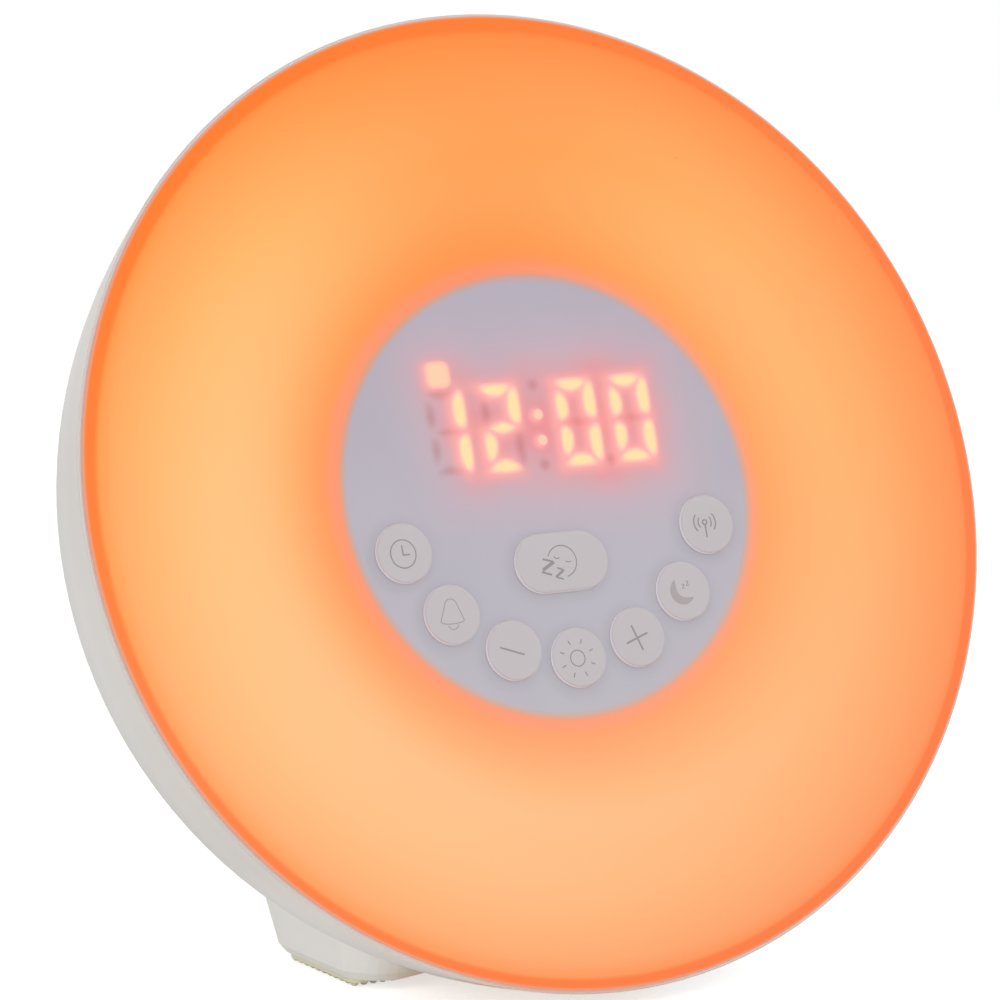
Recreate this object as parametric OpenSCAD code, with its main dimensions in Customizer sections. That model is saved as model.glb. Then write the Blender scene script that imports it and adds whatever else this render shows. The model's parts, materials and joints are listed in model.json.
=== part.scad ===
// Sunrise alarm clock: a round lamp with a ring-shaped opal lens, a clock
// display and eight keys in its middle, leaning back on a ribbed foot.
// Millimetres. The row frame has +Z up, +X to the clock's left-hand side as it
// is faced, and +Y to its back. The origin is the middle of the foot pad's face.

/* [Body] */
// Radius of the housing's rim
rim_r = 85.7; // [84.5:0.1:87]
// Lean of the face back from the vertical, in degrees
lean = 18; // [16:0.5:20]
// Depth of the bowl behind the rim, if its back came to a full curve
bowl_depth = 58; // [57:0.5:60]
// Depth behind the rim at which the bowl's back is cut flat
back_depth = 55.5; // [55.5:0.5:56]
// Inward taper of the bowl's side wall, per mm of depth
wall_taper = 0.17; // [0.15:0.01:0.18]
// Squareness of the bowl's corner: 2 is an ellipse, more is squarer
bowl_square = 3.5; // [3.4:0.1:3.8]
// Wall of the housing
wall = 2.4; // [2.2:0.1:2.5]

/* [Lens] */
// Radius of the lens at the rim
lens_r = 85; // [83.8:0.1:85.2]
// Height of the lens ring's crest above the rim
crest_h = 6.5; // [5:0.5:8]
// Radius of the lens ring's crest
crest_r = 62; // [60:0.5:64]
// Radius of the flat window in the middle
window_r = 37.5; // [37.5:0.1:38]
// Thickness of the opal plastic
lens_t = 2.4; // [2.2:0.1:2.4]

/* [Keys] */
// Diameter of a round key
key_d = 10.4; // [10.2:0.1:10.8]
// Radius of the arc on which the round keys stand
key_arc_r = 31.2; // [31:0.1:31.4]
// Length of the snooze key
snooze_l = 17.9; // [17:0.1:18.4]
// Height of the key tops above the window
key_proud = 0.7; // [0.6:0.1:1.2]

/* [Foot] */
// Half the width over the rubber pad's two strips
pad_half = 33.4; // [32:0.1:33.4]
// Width of a strip of the rubber pad
strip_w = 9.2; // [6:0.1:10]
// Depth of the rubber pad, front to back
pad_depth = 26.2; // [25.8:0.2:27.6]
// Height of the rim's centre above the table
rim_height = 84.6; // [84.6:0.1:86]

/* [Hidden] */
$fn = 96;

// Gaps between pieces
fit = 0.15;
eps = 0.01;

// The disc frame: x to the right and y up the face, z out of the face towards
// the reader, with its origin at the centre of the rim plane.
rim_back = 27.3;        // the rim's centre lies this far in front of the pad's

// Bowl
steps = 22;             // points along each curve
lip_depth = 1.25;       // rebate that the lens's flange drops into
lip_set = 0.4;          // the lip ends this far behind the lens's edge
lip_chamfer = 0.35;
throat_r = lens_r - 1.3;
throat_depth = 5.5;
inner_depth = bowl_depth - wall;
inner_flat = back_depth - wall;

// Lens
window_z = -1.4;        // the window lies a little behind the rim plane
flange_t = 1.2;
skirt_r = throat_r - 0.1;
skirt_t = 1.6;
skirt_depth = 5;
hook_count = 8;
hook_w = 5;             // degrees of arc
hook_out = 0.5;
pocket_back = 1.2;      // plastic left in front of the display

// Display, seen through the window
display_x = 2.15;
display_y = 12.6;
display_size = [46, 19.6, 8.2];
digit_x = [-15.85, -5.2, 9.55, 20.15]; // centres of the four digits
digit_half = 2.98;      // from a digit's centre to its upright segments
bar_y = [5.55, 12.6, 19.65];           // the three level segments
colon_x = 1.65;
colon_y = [9.75, 14.35];
segment_w = 1.5;
flag_pos = [-16.35, 22.45];            // indicator above the first digit
flag_size = [3.6, 2.6];
segment_t = 0.4;

// Light-tight cup that carries the keys, the display and their board
cup_r = 38.4;
cup_wall = 1.5;
cup_plate = 1.2;
cup_front = window_z - lens_t;         // it touches the lens's back
cup_back = -23.3;
cup_flange_r = 44;
cup_flange_t = 1.7;
cup_screw_r = 41.6;
cup_screw_a = [30, 150, 270];

// Keys and switches
key_top = window_z + key_proud;
key_edge = 0.5;         // rounding of a key's top edge
key_arc_y = 2.54;
// Where the round keys stand on their arc, in degrees from its lowest point
key_angles = [-70.4, -46, -22.6, 0, 22.6, 46, 70.4];
snooze_y = -12.03;
key_travel = 0.5;
flange_r = 5.9;
key_flange_t = 1.0;
key_flange_top = cup_front - cup_plate - 0.1;
stem_r = 1.6;
board_z = -12;          // front face of the control board
board_t = 1.6;
board_r = 35.8;
switch_h = 3.5;
switch_w = 6;
plunger_r = 1.5;
plunger_top = board_z + switch_h + 1.2;
plunger_foot = board_z + switch_h - 0.5;
switch_well = 1.3;
board_posts = [[-29.5, 11], [29.5, 11], [0, -20.25], [0, 30.5]];
board_post_r = 2.2;

// Reflector and light board
floor_z = -21.5;
dish_r = 68;
dish_rim_z = -6;
dish_in = [11.9, 15.5];
dish_out = [13.5, 17.3];
led_board_r = [50, 66];
led_t = 1.6;
led_count = 24;
led_r = 58;
led_w = 5;
led_h = 1.5;
led_screw_a = [97.5, 217.5, 337.5];
led_screw_r = 63.4;

// Long posts that join the housing to the reflector
post_r = 5;
post_arc_r = 54;
post_a = [45, 135, 225, 315];
post_top = -27.3;
well_r = 3.5;
well_floor = -31;

// Speaker
speaker_y = 16;
speaker_r = 20;
speaker_z = -inner_flat + 1;           // on a 1 mm gasket
grille_pitch = 4.6;
grille_rings = 3;
grille_hole_r = 1.15;
speaker_screw_r = 23.4;
speaker_screw_a = [90, 210, 330];

// Battery bay
bay_y = -22;
bay_size = [47, 23.6];
bay_floor = -42.6;
bay_wall = 1.6;
door_size = [50, 25.4];
door_t = 1.6;
door_gap = 0.25;
cell_r = 5.2;
cell_l = 44.2;
cell_pitch = 10.8;
cell_z = -48.3;
cell_shift = 0.9;       // towards the plate at the cell's plus end
tab_x = 15;
tab_w = 6;
latch_w = 8;

// Sockets in the back
jack_pos = [-34, 2];
jack_nose_r = 4;
jack_bore_r = 2.9;
jack_bore_depth = 9.5;
jack_pin_r = 1.0;
grommet_pos = [34, 2];
grommet_r = 2.4;

// Main board
main_size = [64, 34];
main_y = -24;
main_z = -36;
main_t = 1.6;
main_posts = [[-29, -12], [29, -12], [-29, -36], [29, -36]];

// Foot, in the row frame
// The foot's plan outline from its underside up: height, half width at the
// front and at the back, front edge, back edge, front and back corner radius
foot_levels = [
    [1.6, 33.9, 33.9, -18.3, 15.2, 8, 3.4],
    [3.2, 35.2, 35.2, -19.8, 16.8, 9, 5],
    [14, 38.6, 38.4, -27, 17.6, 10, 7],
    [24, 39, 38, -36, 9.5, 10, 9],
    [31, 39, 34, -36, 3, 9, 9]];
arch_x = [20, 27.6];    // the underside rises between these, towards its middle
arch_h = 1.1;
rib_pitch = 2.35;
rib_w = 1.2;
rib_h = 0.7;
knob_pitch = 1.8;       // grooves along a strip cut its ribs into knobs
groove_w = 0.65;
pad_t = 2.1;
strip_r = 1.8;
bridge_w = 7;           // the bar of rubber that joins the strips

housing_colour = [0.93, 0.93, 0.91];
lens_colour = [1, 0.62, 0.33];
key_colour = [0.86, 0.84, 0.84];
white_plastic = [0.96, 0.96, 0.95];
board_colour = [0.12, 0.42, 0.25];
steel = [0.72, 0.73, 0.75];
black_plastic = [0.08, 0.08, 0.09];

// ---------------------------------------------------------------- helpers

// Puts something made in the disc frame into the row frame
module on_disc() {
    translate([0, -rim_back, rim_height])
        rotate([90 - lean, 0, 0]) children();
}

// A ring of revolution between two radii and two heights
module ring(r_out, r_in, z0, z1) {
    translate([0, 0, z0]) difference() {
        cylinder(r = r_out, h = z1 - z0);
        translate([0, 0, -1]) cylinder(r = r_in, h = z1 - z0 + 2);
    }
}

module disc(r, z0, z1) {
    translate([0, 0, z0]) cylinder(r = r, h = z1 - z0);
}

module box(size, z0, z1) {
    translate([-size[0] / 2, -size[1] / 2, z0]) cube([size[0], size[1], z1 - z0]);
}

// A level pill: a box with half-round ends
module pill(length, width, z0, z1) {
    for (s = [-1, 1]) translate([s * (length - width) / 2, 0, 0])
        disc(width / 2, z0, z1);
    box([length - width, width], z0, z1);
}

module at_angles(angles, r) {
    for (a = angles) rotate(a) translate([r, 0, 0]) children();
}

// Pan-head screw: its head sits behind z = 0 and its shank runs along +z
module screw(length, shank_r, head_r, head_h) {
    difference() {
        union() {
            disc(shank_r, -eps, length);
            disc(head_r, -head_h, 0);
        }
        for (a = [0, 90]) rotate(a)
            box([head_r * 1.2, head_r * 0.24], -head_h - 1, -head_h * 0.45);
    }
}

// Points of a smooth curve through a few chosen ones (Catmull-Rom)
function curve(p, n = 4) = concat(
    [for (i = [0:len(p) - 2]) for (k = [0:n - 1])
        let (t = k / n, a = p[max(i - 1, 0)], b = p[i], c = p[i + 1],
            d = p[min(i + 2, len(p) - 1)])
        0.5 * (2 * b + (c - a) * t + (2 * a - 5 * b + 4 * c - d) * t * t
            + (3 * b - a - 3 * c + d) * t * t * t)],
    [p[len(p) - 1]]);

function unit(v) = v / norm(v);

// A wire swept along a path, with a ring of corners at every point
module wire(path, d, sides = 6) {
    n = len(path);
    rings = [for (i = [0:n - 1])
        let (t = unit(path[min(i + 1, n - 1)] - path[max(i - 1, 0)]),
            u = unit(cross(t, [0.13, 1, 0.07])), v = cross(t, u))
        for (k = [0:sides - 1])
            path[i] + d / 2 * (cos(360 * k / sides) * u + sin(360 * k / sides) * v)];
    sides_faces = [for (i = [0:n - 2]) for (k = [0:sides - 1])
        let (a = i * sides + k, b = i * sides + (k + 1) % sides)
        each [[a, a + sides, b], [b, a + sides, b + sides]]];
    ends = [[for (k = [0:sides - 1]) k],
        [for (k = [sides - 1:-1:0]) (n - 1) * sides + k]];
    polyhedron(rings, concat(sides_faces, ends), convexity = 4);
}

// ---------------------------------------------------------------- profiles

// Side of the bowl: a superellipse whose radius also shrinks with depth.
// It runs from the rim to where the back is cut flat.
function bowl_side(r, depth, flat) =
    let (u_end = asin(pow(flat / depth, bowl_square / 2)))
    [for (i = [0:steps])
        let (u = u_end * i / steps, z = depth * pow(sin(u), 2 / bowl_square))
        [(r - wall_taper * z) * pow(cos(u), 2 / bowl_square), -z]];

module bowl_solid(r, depth, flat) {
    rotate_extrude() polygon(concat([[0, 0]], bowl_side(r, depth, flat), [[0, -flat]]));
}

// Height of the lens's outer face: a half cosine from the window up to the
// crest, then a parabola down to the rim
function lens_height(r) =
    r <= window_r ? window_z
    : r < crest_r
        ? window_z + (crest_h - window_z)
            * (1 - cos(180 * (r - window_r) / (crest_r - window_r))) / 2
    : crest_h * (1 - pow((r - crest_r) / (lens_r - crest_r), 2));

function lens_line(r0, r1, drop) =
    [for (i = [0:steps]) let (r = r0 + (r1 - r0) * i / steps) [r, lens_height(r) - drop]];

// ---------------------------------------------------------------- lens

// Places of the seven round keys, from the left end of the arc to the right
function key_pos(i) = [key_arc_r * sin(key_angles[i]),
    key_arc_y - key_arc_r * cos(key_angles[i])];

module key_holes(gap, z0, z1) {
    for (i = [0:6]) translate(key_pos(i)) disc(key_d / 2 + gap, z0, z1);
    translate([0, snooze_y]) pill(snooze_l + 2 * gap, key_d + 2 * gap, z0, z1);
}

module front_lens() color(lens_colour) on_disc() {
    skirt_in = skirt_r - skirt_t;
    difference() {
        rotate_extrude() polygon(concat(
            [[0, window_z]],
            lens_line(window_r, crest_r, 0),
            [for (p = lens_line(crest_r, lens_r, 0)) if (p[0] > crest_r) p],
            [[lens_r, -flange_t], [skirt_r, -flange_t], [skirt_r, -skirt_depth],
                [skirt_in, -skirt_depth]],
            [for (p = lens_line(skirt_in, crest_r, lens_t)) p],
            [for (p = lens_line(crest_r, window_r, lens_t)) if (p[0] < crest_r) p],
            [[0, window_z - lens_t]]));
        key_holes(fit, window_z - lens_t - 1, window_z + 1);
        translate([display_x, display_y])
            box(display_size + [fit * 2, fit * 2, 0], window_z - lens_t - 1,
                window_z - pocket_back);
        translate(flag_pos) box([6, 4], window_z - lens_t - 1, window_z - pocket_back);
    }
    lens_hooks(hook_out, 0);
}

// Wedge hooks around the lens's skirt; grown, they cut the pockets for them
module lens_hooks(out, gap) {
    for (i = [0:hook_count - 1]) rotate(360 / hook_count * (i + 0.5) - hook_w / 2 - gap)
        rotate_extrude(angle = hook_w + 2 * gap) polygon([
            [skirt_r - 0.3, -2.6 + gap], [skirt_r + out, -3.0 + gap],
            [skirt_r + out, -3.6 - gap], [skirt_r - 0.3, -4.6 - gap]]);
}

// ---------------------------------------------------------------- housing

// Outline of the foot in plan at one height: four rounded corners, inset by t
module foot_outline(level, t, z) {
    front = level[5] - t;
    back = level[6] - t;
    for (s = [-1, 1]) {
        translate([s * (level[1] - t - front), level[3] + t + front, z])
            cylinder(r = front, h = 0.05, $fn = 32);
        translate([s * (level[2] - t - back), level[4] - t - back, z])
            cylinder(r = back, h = 0.05, $fn = 32);
    }
}

// The foot flares from the pad up into the bowl. A thickness t insets it.
module foot_block(t) {
    last = len(foot_levels) - 1;
    hull() for (k = [0:last])
        foot_outline(foot_levels[k], t * 1.25,
            foot_levels[k][0] + (k == 0 ? t * 1.4 : k == last ? -t * 1.5 : 0));
}

// The underside's shallow arch, as the space below it
module foot_arch() {
    low = foot_levels[0][0];
    rotate([90, 0, 0]) linear_extrude(60, center = true)
        polygon([[-arch_x[1], -1], [-arch_x[1], low], [-arch_x[0], low + arch_h],
            [arch_x[0], low + arch_h], [arch_x[1], low], [arch_x[1], -1]]);
}

module pad_shape(half, depth, r, z0, z1) {
    box([2 * (half - r), depth], z0, z1);
    box([2 * half, depth - 2 * r], z0, z1);
    for (sx = [-1, 1], sy = [-1, 1])
        translate([sx * (half - r), sy * (depth / 2 - r)]) disc(r, z0, z1);
}

// Two strips and the bar that joins them
module pad_plan(gap, z0, z1) {
    for (s = [-1, 1]) translate([s * (pad_half - strip_w / 2), 0])
        pad_shape(strip_w / 2 + gap, pad_depth + 2 * gap, strip_r + gap, z0, z1);
    box([2 * pad_half - strip_w, bridge_w + 2 * gap], z0, z1);
}

module grille_places() {
    translate([0, speaker_y]) {
        children();
        for (ring = [1:grille_rings]) for (k = [0:6 * ring - 1])
            rotate(360 * k / (6 * ring)) translate([ring * grille_pitch, 0]) children();
    }
}

module housing_inside() {
    bowl_solid(rim_r - wall, inner_depth, inner_flat);
    disc(throat_r, -throat_depth, 1);
    disc(lens_r + 0.05, -lip_depth, 1);
    disc(rim_r + 1, -lip_set, 1);
    rotate_extrude() polygon([[rim_r - lip_chamfer, -lip_set + eps],
        [rim_r + 1, -lip_set + eps], [rim_r + 1, -lip_set - lip_chamfer],
        [rim_r, -lip_set - lip_chamfer]]);
    lens_hooks(hook_out + fit, fit);
}

module housing_posts() {
    at_angles(post_a, post_arc_r) disc(post_r, -inner_flat, post_top);
    for (p = main_posts) translate(p) disc(2.6, -inner_flat, main_z - main_t);
    translate([0, speaker_y]) {
        ring(speaker_r + 1.5, speaker_r + 0.3, -inner_flat, speaker_z + 0.8);
        at_angles(speaker_screw_a, speaker_screw_r) disc(2.3, -inner_flat, speaker_z + 0.8);
    }
    translate([0, bay_y]) box(bay_size + [2, 2] * bay_wall, -inner_flat, bay_floor + bay_wall);
}

module housing_cuts() {
    at_angles(post_a, post_arc_r) {
        disc(well_r, -bowl_depth - 1, well_floor);
        disc(1.6, well_floor - 1, post_top + 1);
    }
    for (p = main_posts) translate(p) disc(1.0, main_z - main_t - 7, main_z);
    translate([0, speaker_y]) at_angles(speaker_screw_a, speaker_screw_r)
        disc(0.9, speaker_z - 0.4, speaker_z + 2);
    grille_places() disc(grille_hole_r, -back_depth - 1, -inner_flat + 1);
    translate([0, bay_y]) {
        box(bay_size, -back_depth - 1, bay_floor);
        box(door_size + [2, 2] * door_gap, -back_depth - 1, -back_depth + door_t);
        for (s = [-1, 1]) translate([s * tab_x, -door_size[1] / 2 - 0.4])
            box([tab_w + 0.8, 4.4], -back_depth + door_t - 0.15, -back_depth + 4.2);
        // finger scoop over the latch
        translate([0, door_size[1] / 2 + 1.2, -back_depth - 3.4])
            rotate([0, 90, 0]) translate([0, 0, -5]) cylinder(r = 4.6, h = 10);
    }
    translate(jack_pos) disc(jack_nose_r + 0.1, -back_depth - 1, -inner_flat + 1);
    translate(grommet_pos) disc(grommet_r + 0.05, -back_depth - 1, -inner_flat + 1);
}

module rear_housing() color(housing_colour) difference() {
    union() {
        on_disc() bowl_solid(rim_r, bowl_depth, back_depth);
        foot_block(0);
    }
    difference() {
        union() {
            on_disc() housing_inside();
            foot_block(wall);
        }
        on_disc() housing_posts();
    }
    on_disc() housing_cuts();
    foot_arch();
    pad_plan(0.05, -1, pad_t);
    box([2 * arch_x[1] - 1, bridge_w + 0.1], -1, foot_levels[0][0] + arch_h);
}

// Rubber pad glued into the foot: two strips whose knobs grip the table, and
// a bar with three long ribs that joins them across the arch
module foot_pad() color([0.78, 0.77, 0.7]) {
    difference() {
        pad_plan(0, 0, pad_t);
        for (k = [-6:5]) translate([0, (k + 0.5) * rib_pitch])
            box([2 * pad_half + 1, rib_pitch - rib_w], -1, rib_h);
        for (s = [-1, 1], k = [-1.5:1.5])
            translate([s * (pad_half - strip_w / 2) + k * knob_pitch, 0])
                box([groove_w, pad_depth + 1], -1, rib_h);
    }
    box([2 * arch_x[0], bridge_w], pad_t - eps, foot_levels[0][0] + arch_h);
}

// ---------------------------------------------------------------- front module

module control_cup() color(white_plastic) on_disc() difference() {
    union() {
        disc(cup_r, cup_back - cup_flange_t, cup_front);
        disc(cup_flange_r, cup_back - cup_flange_t, cup_back);
    }
    difference() {
        disc(cup_r - cup_wall, cup_back - cup_flange_t - 1, cup_front - cup_plate);
        for (p = board_posts) translate(p) disc(board_post_r, board_z, cup_front);
    }
    for (p = board_posts) translate(p) disc(0.95, board_z - 1, board_z + 5.5);
    key_holes(fit + 0.1, cup_front - cup_plate - 1, cup_front + 1);
    translate([display_x, display_y])
        box(display_size + [fit * 2, fit * 2, 0], cup_front - cup_plate - 1, cup_front + 1);
    translate(flag_pos) box([6, 4], cup_front - cup_plate - 1, cup_front + 1);
    at_angles(cup_screw_a, cup_screw_r) disc(1.3, cup_back - 3, cup_back + 1);
    // slot for the light board's leads
    rotate(250) translate([cup_flange_r, 0]) box([5, 6], cup_back - 3, cup_back + 1);
}

module display_module() color(black_plastic) on_disc() {
    top = window_z - pocket_back;
    difference() {
        union() {
            translate([display_x, display_y])
                box(display_size, top - display_size[2], top);
            translate(flag_pos + [0, 0.1]) box([5.6, 3.7], top - display_size[2], top);
        }
        segments(0.06, 1);
    }
    for (x = [-17:3.4:17], s = [-1, 1])
        translate([display_x + x, display_y + s * 7.6]) disc(0.25, board_z, top - display_size[2]);
}

// One bar of a digit: a level or upright bar with pointed ends
module bar(length, upright, gap) {
    l = length / 2;
    w = segment_w / 2;
    rotate(upright ? 90 : 0) linear_extrude(segment_t + gap) polygon([
        [-l - gap, 0], [-l + w, -w - gap], [l - w, -w - gap],
        [l + gap, 0], [l - w, w + gap], [-l + w, w + gap]]);
}

module segments(gap, proud) {
    top = window_z - pocket_back;
    level_l = 2 * digit_half - 0.5;
    upright_l = bar_y[1] - bar_y[0] - 0.5;
    translate([0, 0, top - segment_t]) {
        for (x = digit_x) {
            for (y = bar_y) translate([x, y]) bar(level_l, false, gap);
            for (s = [-1, 1], k = [0, 1])
                translate([x + s * digit_half, (bar_y[k] + bar_y[k + 1]) / 2])
                    bar(upright_l, true, gap);
        }
        for (y = colon_y) translate([colon_x, y]) cylinder(r = 0.85 + gap, h = segment_t + gap);
        translate(flag_pos) box(flag_size + [2, 2] * gap, 0, segment_t + gap);
    }
}

module display_segments() color([1, 0.85, 0.6]) on_disc() segments(0, 0);

module control_board() color(board_colour) on_disc() difference() {
    disc(board_r, board_z - board_t, board_z);
    for (p = board_posts) translate(p) disc(1.3, board_z - 3, board_z + 1);
}

module switch_places() {
    for (i = [0:6]) translate(key_pos(i)) children();
    translate([0, snooze_y]) children();
}

module switch_bodies() color(black_plastic) on_disc() switch_places() difference() {
    box([switch_w, switch_w], board_z, board_z + switch_h);
    disc(plunger_r + fit, board_z + switch_h - switch_well, board_z + switch_h + 1);
}

module plunger() disc(plunger_r, plunger_foot, plunger_top);

// Profile of a key's edge: upright side and a rounded top corner
function key_edge_line(r) = concat([[r, key_flange_top - eps]],
    [for (k = [0:6]) [r - key_edge + key_edge * cos(15 * k),
        key_top - key_edge + key_edge * sin(15 * k)]]);

module round_key() {
    r = key_d / 2;
    rotate_extrude() polygon(concat([[0, key_flange_top - eps]], key_edge_line(r),
        [[0, key_top]]));
    disc(flange_r, key_flange_top - key_flange_t, key_flange_top);
    disc(stem_r, plunger_top, key_flange_top - key_flange_t + eps);
}

module snooze_cap() {
    r = key_d / 2;
    half = (snooze_l - key_d) / 2;
    edge = key_edge_line(r);
    for (s = [-1, 1]) translate([s * half, 0])
        rotate_extrude() polygon(concat([[0, key_flange_top - eps]], edge, [[0, key_top]]));
    rotate([90, 0, 90]) translate([0, 0, -half]) linear_extrude(2 * half)
        polygon(concat(edge, [for (k = [len(edge) - 1:-1:0]) [-edge[k][0], edge[k][1]]]));
    pill(snooze_l + 1.2, key_d + 0.8, key_flange_top - key_flange_t, key_flange_top);
    disc(stem_r, plunger_top, key_flange_top - key_flange_t + eps);
}

module arc_key(i) color(key_colour) on_disc() translate(key_pos(i)) round_key();
module arc_plunger(i) color([0.9, 0.88, 0.8]) on_disc() translate(key_pos(i)) plunger();
module snooze_key() color(key_colour) on_disc() translate([0, snooze_y]) snooze_cap();
module snooze_plunger() color([0.9, 0.88, 0.8]) on_disc() translate([0, snooze_y]) plunger();

// ---------------------------------------------------------------- light

module reflector() color(white_plastic) on_disc() {
    difference() {
        union() {
            rotate_extrude() polygon(concat(
                [[cup_r + 0.3, cup_back], [dish_r, cup_back]],
                [for (k = [1:12]) [dish_r + dish_out[0] * sin(7.5 * k),
                    dish_rim_z - dish_out[1] * cos(7.5 * k)]],
                [for (k = [12:-1:0]) [dish_r + dish_in[0] * sin(7.5 * k),
                    dish_rim_z - dish_in[1] * cos(7.5 * k)]],
                [[cup_r + 0.3, floor_z]]));
            at_angles(cup_screw_a, cup_screw_r) disc(2.6, floor_z - eps, floor_z + 3);
            at_angles(post_a, post_arc_r) disc(4.2, post_top, cup_back + eps);
            at_angles(led_screw_a, led_screw_r) disc(2.4, cup_back - 3.5, cup_back + eps);
        }
        at_angles(cup_screw_a, cup_screw_r) disc(0.95, cup_back - 1, floor_z + 2.2);
        at_angles(post_a, post_arc_r) disc(1.35, post_top - 1, cup_back + 0.8);
        at_angles(led_screw_a, led_screw_r) disc(0.95, cup_back - 2.8, floor_z + 1);
        rotate(250) translate([46.5, 0]) box([5, 5], cup_back - 1, floor_z + 1);
    }
}

module led_board() color(white_plastic) on_disc() difference() {
    ring(led_board_r[1], led_board_r[0], floor_z, floor_z + led_t);
    at_angles(led_screw_a, led_screw_r) disc(1.2, floor_z - 1, floor_z + led_t + 1);
}

module led_chips() color([1, 0.93, 0.7]) on_disc()
    for (k = [0:led_count - 1]) rotate(360 * k / led_count) translate([led_r, 0])
        difference() {
            box([led_w, led_w], floor_z + led_t, floor_z + led_t + led_h);
            disc(2, floor_z + led_t + led_h - 0.3, floor_z + led_t + led_h + 1);
        }

// ---------------------------------------------------------------- back module

module main_board() color(board_colour) on_disc() difference() {
    translate([0, main_y]) box(main_size, main_z - main_t, main_z);
    for (p = main_posts) translate(p) disc(1.25, main_z - main_t - 1, main_z + 1);
}

// Chips, capacitors, crystal and plug headers on the main board
module main_board_parts() color(black_plastic) on_disc() translate([0, main_y]) {
    translate([-6, 3]) box([10, 10], main_z, main_z + 1.6);
    translate([12, 4]) box([7, 5], main_z, main_z + 1.5);
    for (k = [0:2]) translate([22, -9 + 5.6 * k]) disc(2.4, main_z, main_z + 6);
    translate([-20, 6]) pill(10, 4, main_z, main_z + 3.4);
    for (k = [0:4]) translate([-20 + 9 * k, -11]) box([6.4, 4.4], main_z, main_z + 5);
}

module speaker_frame() color(steel) on_disc() translate([0, speaker_y, speaker_z]) difference() {
    rotate_extrude() polygon([[speaker_r, 0], [speaker_r, 0.8], [17.6, 0.8], [11.6, 8],
        [9, 9], [5.6, 9], [5.6, 8.2], [8.6, 8.2], [11, 7.2], [15.7, 0.6], [17, 0.6], [17, 0]]);
    for (a = [45:90:315]) rotate(a) translate([14.6, 0]) box([4.6, 9], 1.8, 7.4);
}

module speaker_magnet() color([0.25, 0.25, 0.27]) on_disc()
    translate([0, speaker_y, speaker_z + 9]) {
        disc(11, 0, 6.5);
        disc(9.6, 6.5 - eps, 7.8);
    }

// Paper cone with a rolled edge and a dust cap; its rim lies on the frame's shelf
module speaker_cone() color([0.16, 0.15, 0.15]) on_disc() translate([0, speaker_y, speaker_z])
    rotate_extrude() polygon([[16.95, 0.2], [15.8, 0.2], [15.2, 0.05], [14.6, 0.3],
        [5.2, 6], [3, 4.8], [0, 4.3], [0, 4.7], [2.9, 5.2], [5.1, 6.7], [14.5, 1],
        [15.2, 0.6], [16.95, 0.6]]);

module speaker_gasket() color([0.2, 0.2, 0.2]) on_disc() translate([0, speaker_y])
    ring(speaker_r, 17, -inner_flat, speaker_z);

module speaker_cloth() color(black_plastic) on_disc() translate([0, speaker_y])
    disc(16.8, -inner_flat, -inner_flat + 0.3);

module speaker_washers() color(steel) on_disc() translate([0, speaker_y])
    at_angles(speaker_screw_a, speaker_screw_r)
        ring(3.6, 1.1, speaker_z + 0.8, speaker_z + 1.2);

module dc_jack() color(black_plastic) on_disc() translate(jack_pos) difference() {
    rotate_extrude() polygon([[0, -back_depth], [jack_nose_r, -back_depth],
        [jack_nose_r, -inner_flat], [5.4, -inner_flat], [5.4, -inner_flat + 1.2],
        [4.7, -inner_flat + 1.2], [4.7, -43], [0, -43]]);
    disc(jack_bore_r, -back_depth - 1, -back_depth + jack_bore_depth);
}

module dc_jack_pin() color(steel) on_disc() translate(jack_pos) {
    disc(jack_pin_r, -back_depth + 0.8, -back_depth + jack_bore_depth);
    for (s = [-1, 1]) translate([s * 2.4, 0]) box([0.4, 2], -43, -39.8);
}

module aerial_grommet() color([0.3, 0.3, 0.32]) on_disc() translate(grommet_pos)
    rotate_extrude() polygon([[1, -back_depth - 0.8], [3, -back_depth - 0.8],
        [3.6, -back_depth - 0.3], [3.6, -back_depth], [grommet_r, -back_depth],
        [grommet_r, -inner_flat], [3.4, -inner_flat], [3.1, -inner_flat + 0.9],
        [1, -inner_flat + 0.9]]);

// Door of the battery bay: two tabs at its foot, a latch tongue at its head
module battery_door() color(housing_colour) on_disc() translate([0, bay_y]) {
    edge_y = door_size[1] / 2;
    difference() {
        box(door_size, -back_depth, -back_depth + door_t);
        for (k = [0:3]) translate([0, edge_y - 2.4 - 1.5 * k])
            box([12, 0.7], -back_depth - 1, -back_depth + 0.4);
    }
    for (s = [-1, 1]) translate([s * tab_x, -edge_y])
        box([tab_w, 3.2], -back_depth + door_t - eps, -back_depth + door_t + 0.9);
    translate([0, edge_y - 1.8]) box([latch_w, 0.8], -back_depth + door_t - eps,
        -back_depth + 4.1);
}

module backup_cells() color([0.2, 0.33, 0.5]) on_disc()
    for (s = [-1, 1])
        translate([-s * (cell_l / 2 - cell_shift), bay_y + s * cell_pitch / 2, cell_z])
            rotate([0, s * 90, 0]) {
            disc(cell_r, 0, cell_l - 1.1);
            disc(1.8, cell_l - 1.1 - eps, cell_l);
        }

// Sprung leaf at each minus end and a flat plate at each plus end
module battery_contacts() color(steel) on_disc() {
    half = bay_size[0] / 2;
    for (s = [-1, 1]) translate([0, bay_y + s * cell_pitch / 2]) {
        translate([s * (half - 0.2), 0]) box([0.4, 8], cell_z - 4, cell_z + 4.5);
        translate([-s * (half - 0.2), 0]) box([0.4, 8], cell_z - 4, cell_z + 4.5);
        translate([-s * (half - 1.25), 0]) box([1.7 + eps, 4], cell_z - 0.6, cell_z + 0.6);
    }
}

// ---------------------------------------------------------------- fasteners

module housing_screws() color(steel) on_disc()
    at_angles(post_a, post_arc_r) translate([0, 0, well_floor]) screw(8.2, 1.25, 2.8, 1.8);

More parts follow.
